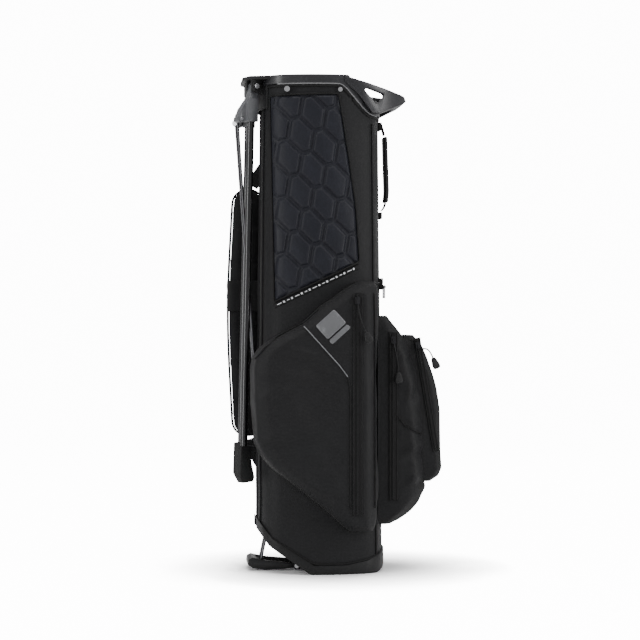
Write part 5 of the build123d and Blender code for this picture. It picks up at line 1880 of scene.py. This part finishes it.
POCKETS = (
    Pocket(
        "apparel",
        Side.NEAR,
        APPAREL_ROWS,
        "apparel_pocket",
        0.040,
        fold=0.0028,
        seed=11,
        soften=10,
        calm=(
            (0.057, 0.500, 0.057, 0.108, 0.010),
            (0.000, 0.441, 0.030, 0.441, 0.026),
            (-0.120, 0.215, 0.020, 0.090, 0.006),
        ),
        draws=(
            (-0.030, 0.392, -14.0, 0.030, 0.0060, 0.0034),
            (-0.012, 0.374, -16.0, 0.032, 0.0055, 0.0028),
            (-0.050, 0.352, -8.0, 0.040, 0.0080, 0.0023),
            (-0.085, 0.330, 28.0, 0.030, 0.0080, 0.0025),
            (-0.090, 0.245, 14.0, 0.045, 0.0100, 0.0031),
            (-0.100, 0.205, 24.0, 0.035, 0.0080, 0.0028),
            (-0.020, 0.255, -6.0, 0.050, 0.0120, 0.0025),
            (-0.060, 0.170, 30.0, 0.035, 0.0080, 0.0025),
            (0.010, 0.150, 8.0, 0.040, 0.0090, 0.0028),
            (0.020, 0.300, -24.0, 0.030, 0.0080, 0.0019),
            (0.035, 0.205, 62.0, 0.030, 0.0070, 0.0020),
            (0.080, 0.330, 76.0, 0.060, 0.0060, 0.0019),
        ),
    ),
    Pocket(
        "ball",
        Side.BACK,
        BALL_ROWS,
        "ball_pocket",
        0.0,
        half=0.078,
        inner=0.098,
        fold=0.0028,
        seed=23,
        calm=((0.129, 0.430, 0.129, 0.128, 0.008),),
        draws=(
            (0.160, 0.330, 70.0, 0.040, 0.0070, 0.0025),
            (0.155, 0.215, 22.0, 0.035, 0.0080, 0.0031),
            (0.165, 0.165, 38.0, 0.030, 0.0080, 0.0031),
            (0.150, 0.390, 48.0, 0.022, 0.0060, 0.0028),
            (0.150, 0.275, -30.0, 0.030, 0.0070, 0.0022),
        ),
    ),
    Pocket(
        "accessory",
        Side.BACK,
        ACCESSORY_ROWS,
        "accessory_pocket",
        0.0,
        half=0.060,
        inner=0.150,
        fold=0.0010,
        seed=31,
        soften=5,
        corner=0.009,
        calm=((0.174, 0.420, 0.209, 0.215, 0.006),),
    ),
)

ZIPS = (
    Zip(
        "apparel",
        (0.057, 0.500),
        (0.057, 0.108),
        APPAREL_FACE,
        ((0.057, -0.155, 0.4785), (0.059, -0.156, 0.4635), (0.064, -0.1565, 0.4465), (0.071, -0.156, 0.4305)),
        0.0503,
        0.0075,
    ),
    Zip(
        "ball",
        (0.129, 0.430),
        (0.129, 0.128),
        BALL_FACE,
        ((0.129, -0.086, 0.4085), (0.132, -0.087, 0.3935), (0.136, -0.0875, 0.3765), (0.137, -0.087, 0.3585)),
        0.0508,
        0.0066,
    ),
    Zip(
        "accessory",
        (0.174, 0.420),
        (0.209, 0.215),
        ACCESSORY_FACE,
        (
            (0.17762, -0.068, 0.39881),
            (0.18562, -0.077, 0.40181),
            (0.19462, -0.083, 0.39681),
            (0.19962, -0.084, 0.38481),
        ),
        0.0364,
        0.0047,
        grip_length=0.022,
    ),
)


WHITE = (1.0, 1.0, 1.0, 1.0)


@dataclass(frozen=True)
class SoftBox:
    """A rectangular area light."""

    name: str
    place: Point
    aim: Point
    size: Tuple[float, float]
    power: float


SOFT_BOXES = (
    SoftBox("soft_left", (-2.2, -1.3, 1.1), (0.0, 0.0, 0.5), (0.7, 2.2), 36.0),
    SoftBox("soft_right", (2.3, -1.4, 1.2), (0.0, 0.0, 0.5), (0.8, 2.2), 52.0),
    SoftBox("soft_top", (0.0, -0.6, 3.0), (0.0, 0.0, 0.0), (2.4, 2.4), 60.0),
    SoftBox("soft_back", (0.8, 2.4, 1.8), (0.0, 0.0, 0.5), (1.6, 1.6), 25.0),
)


@dataclass
class Studio:
    """Floor, soft light and camera."""

    azimuth: float = -5.0
    distance: float = 3.5
    height: float = 0.452
    lens: float = 107.6
    sensor: float = 36.0
    right: float = 0.0037
    reach: float = 30.0
    back: float = 24.0
    bend: float = 1.6
    wall_top: float = 14.0
    sunk: float = 0.0004
    glow: float = 13.0
    # Reach and power of the painted contact shadow: the floor's glow is dimmed by ambient occlusion near the bag.
    painted_shadow_reach: float = 0.22
    painted_shadow_power: float = 6.5
    surroundings: float = 0.55

    def build(self) -> None:
        """Lay the floor, hang the lights and set the camera."""
        floor = sheet_mesh("studio_floor", self.floor_grid())
        floor.data.materials.append(self.paper())
        self.lights()
        self.camera()

    def floor_grid(self) -> np.ndarray:
        """Wide floor that bends up into a backdrop, a little under the bag's foot."""
        turn = np.linspace(0, math.pi / 2, 12)[1:]
        wall = self.back + self.bend
        flat = np.linspace(-self.reach, self.back, 60)
        run = np.concatenate([flat, self.back + self.bend * np.sin(turn), np.full(6, wall)])
        upright = np.linspace(2.2, self.wall_top, 6)
        rise = np.concatenate([np.zeros(60), self.bend - self.bend * np.cos(turn), upright])
        x, y = np.meshgrid(np.linspace(-self.reach, self.reach, 30), run)
        z = np.broadcast_to(rise[:, None] - self.sunk, x.shape)
        return np.stack([x, y, z], axis=-1)

    def paper(self) -> bpy.types.Material:
        """White paper that glows to the camera; close to what stands on it the glow is dimmed by ambient
        occlusion, a painted contact shadow.
        """
        material = bpy.data.materials.new("studio_paper")
        material.use_nodes = True
        tree = material.node_tree
        shader = tree.nodes["Principled BSDF"]
        shader.inputs["Roughness"].default_value = 0.9
        shader.inputs["Specular IOR Level"].default_value = 0.1
        place = tree.nodes.new("ShaderNodeTexCoord")
        noise = Effects._noise(tree, place.outputs["Object"], Scale=3.0)
        shades = tree.nodes.new("ShaderNodeMix")
        shades.data_type = "RGBA"
        shades.inputs[MIX_A].default_value = (0.93, 0.93, 0.93, 1.0)
        shades.inputs[MIX_B].default_value = (0.96, 0.96, 0.96, 1.0)
        tree.links.new(noise.outputs["Fac"], shades.inputs[MIX_FACTOR])
        tree.links.new(shades.outputs[MIX_OUT], shader.inputs["Base Color"])
        glow = tree.nodes.new("ShaderNodeEmission")
        # Painted contact shadow: the glow is multiplied by ambient occlusion raised to a power, so it fades close
        # to the bag's foot.
        near = tree.nodes.new("ShaderNodeAmbientOcclusion")
        near.inputs["Distance"].default_value = self.painted_shadow_reach
        near.samples = 8
        deep = Effects._math(tree, "POWER", near.outputs["AO"], self.painted_shadow_power)
        tree.links.new(Effects._math(tree, "MULTIPLY", deep, self.glow), glow.inputs["Strength"])
        both = tree.nodes.new("ShaderNodeAddShader")
        tree.links.new(shader.outputs[0], both.inputs[0])
        tree.links.new(glow.outputs[0], both.inputs[1])
        rays = tree.nodes.new("ShaderNodeLightPath")
        choice = tree.nodes.new("ShaderNodeMixShader")
        tree.links.new(rays.outputs["Is Camera Ray"], choice.inputs[0])
        tree.links.new(shader.outputs[0], choice.inputs[1])
        tree.links.new(both.outputs[0], choice.inputs[2])
        tree.links.new(choice.outputs[0], tree.nodes["Material Output"].inputs["Surface"])
        return material

    def lights(self) -> None:
        """Even pale surroundings with the soft boxes."""
        world = bpy.data.worlds.new("studio_air")
        world.use_nodes = True
        background = world.node_tree.nodes["Background"]
        background.inputs["Color"].default_value = WHITE
        background.inputs["Strength"].default_value = self.surroundings
        bpy.context.scene.world = world
        for box in SOFT_BOXES:
            data = bpy.data.lights.new(box.name, "AREA")
            data.shape = "RECTANGLE"
            data.size, data.size_y = box.size
            data.energy = box.power
            light = placed(box.name, data)
            light.location = box.place
            way = Vector(box.aim) - Vector(box.place)
            light.rotation_euler = way.to_track_quat("-Z", "Y").to_euler()

    def camera(self) -> None:
        """Level camera a little to the leg side of straight on."""
        turn = math.radians(self.azimuth)
        data = bpy.data.cameras.new("view")
        data.lens = self.lens
        data.sensor_width = self.sensor
        camera = placed("view", data)
        camera.location = (
            self.distance * math.sin(turn) + self.right * math.cos(turn),
            -self.distance * math.cos(turn) + self.right * math.sin(turn),
            self.height,
        )
        camera.rotation_euler = (math.radians(90.0), 0.0, turn)
        bpy.context.scene.camera = camera


def main() -> None:
    """Build every sub-assembly in order."""
    Mouldings().build()
    Dividers().build()
    Shell().build()
    QuiltedPanel().build()
    grids = {pocket.name: pocket.build() for pocket in POCKETS}
    PocketTrim().build(grids["apparel"], grids["ball"])
    for item in ZIPS:
        item.build()
    BackTrim().build()
    Straps().build()
    Studio().build()


if __name__ == "__main__":
    main()
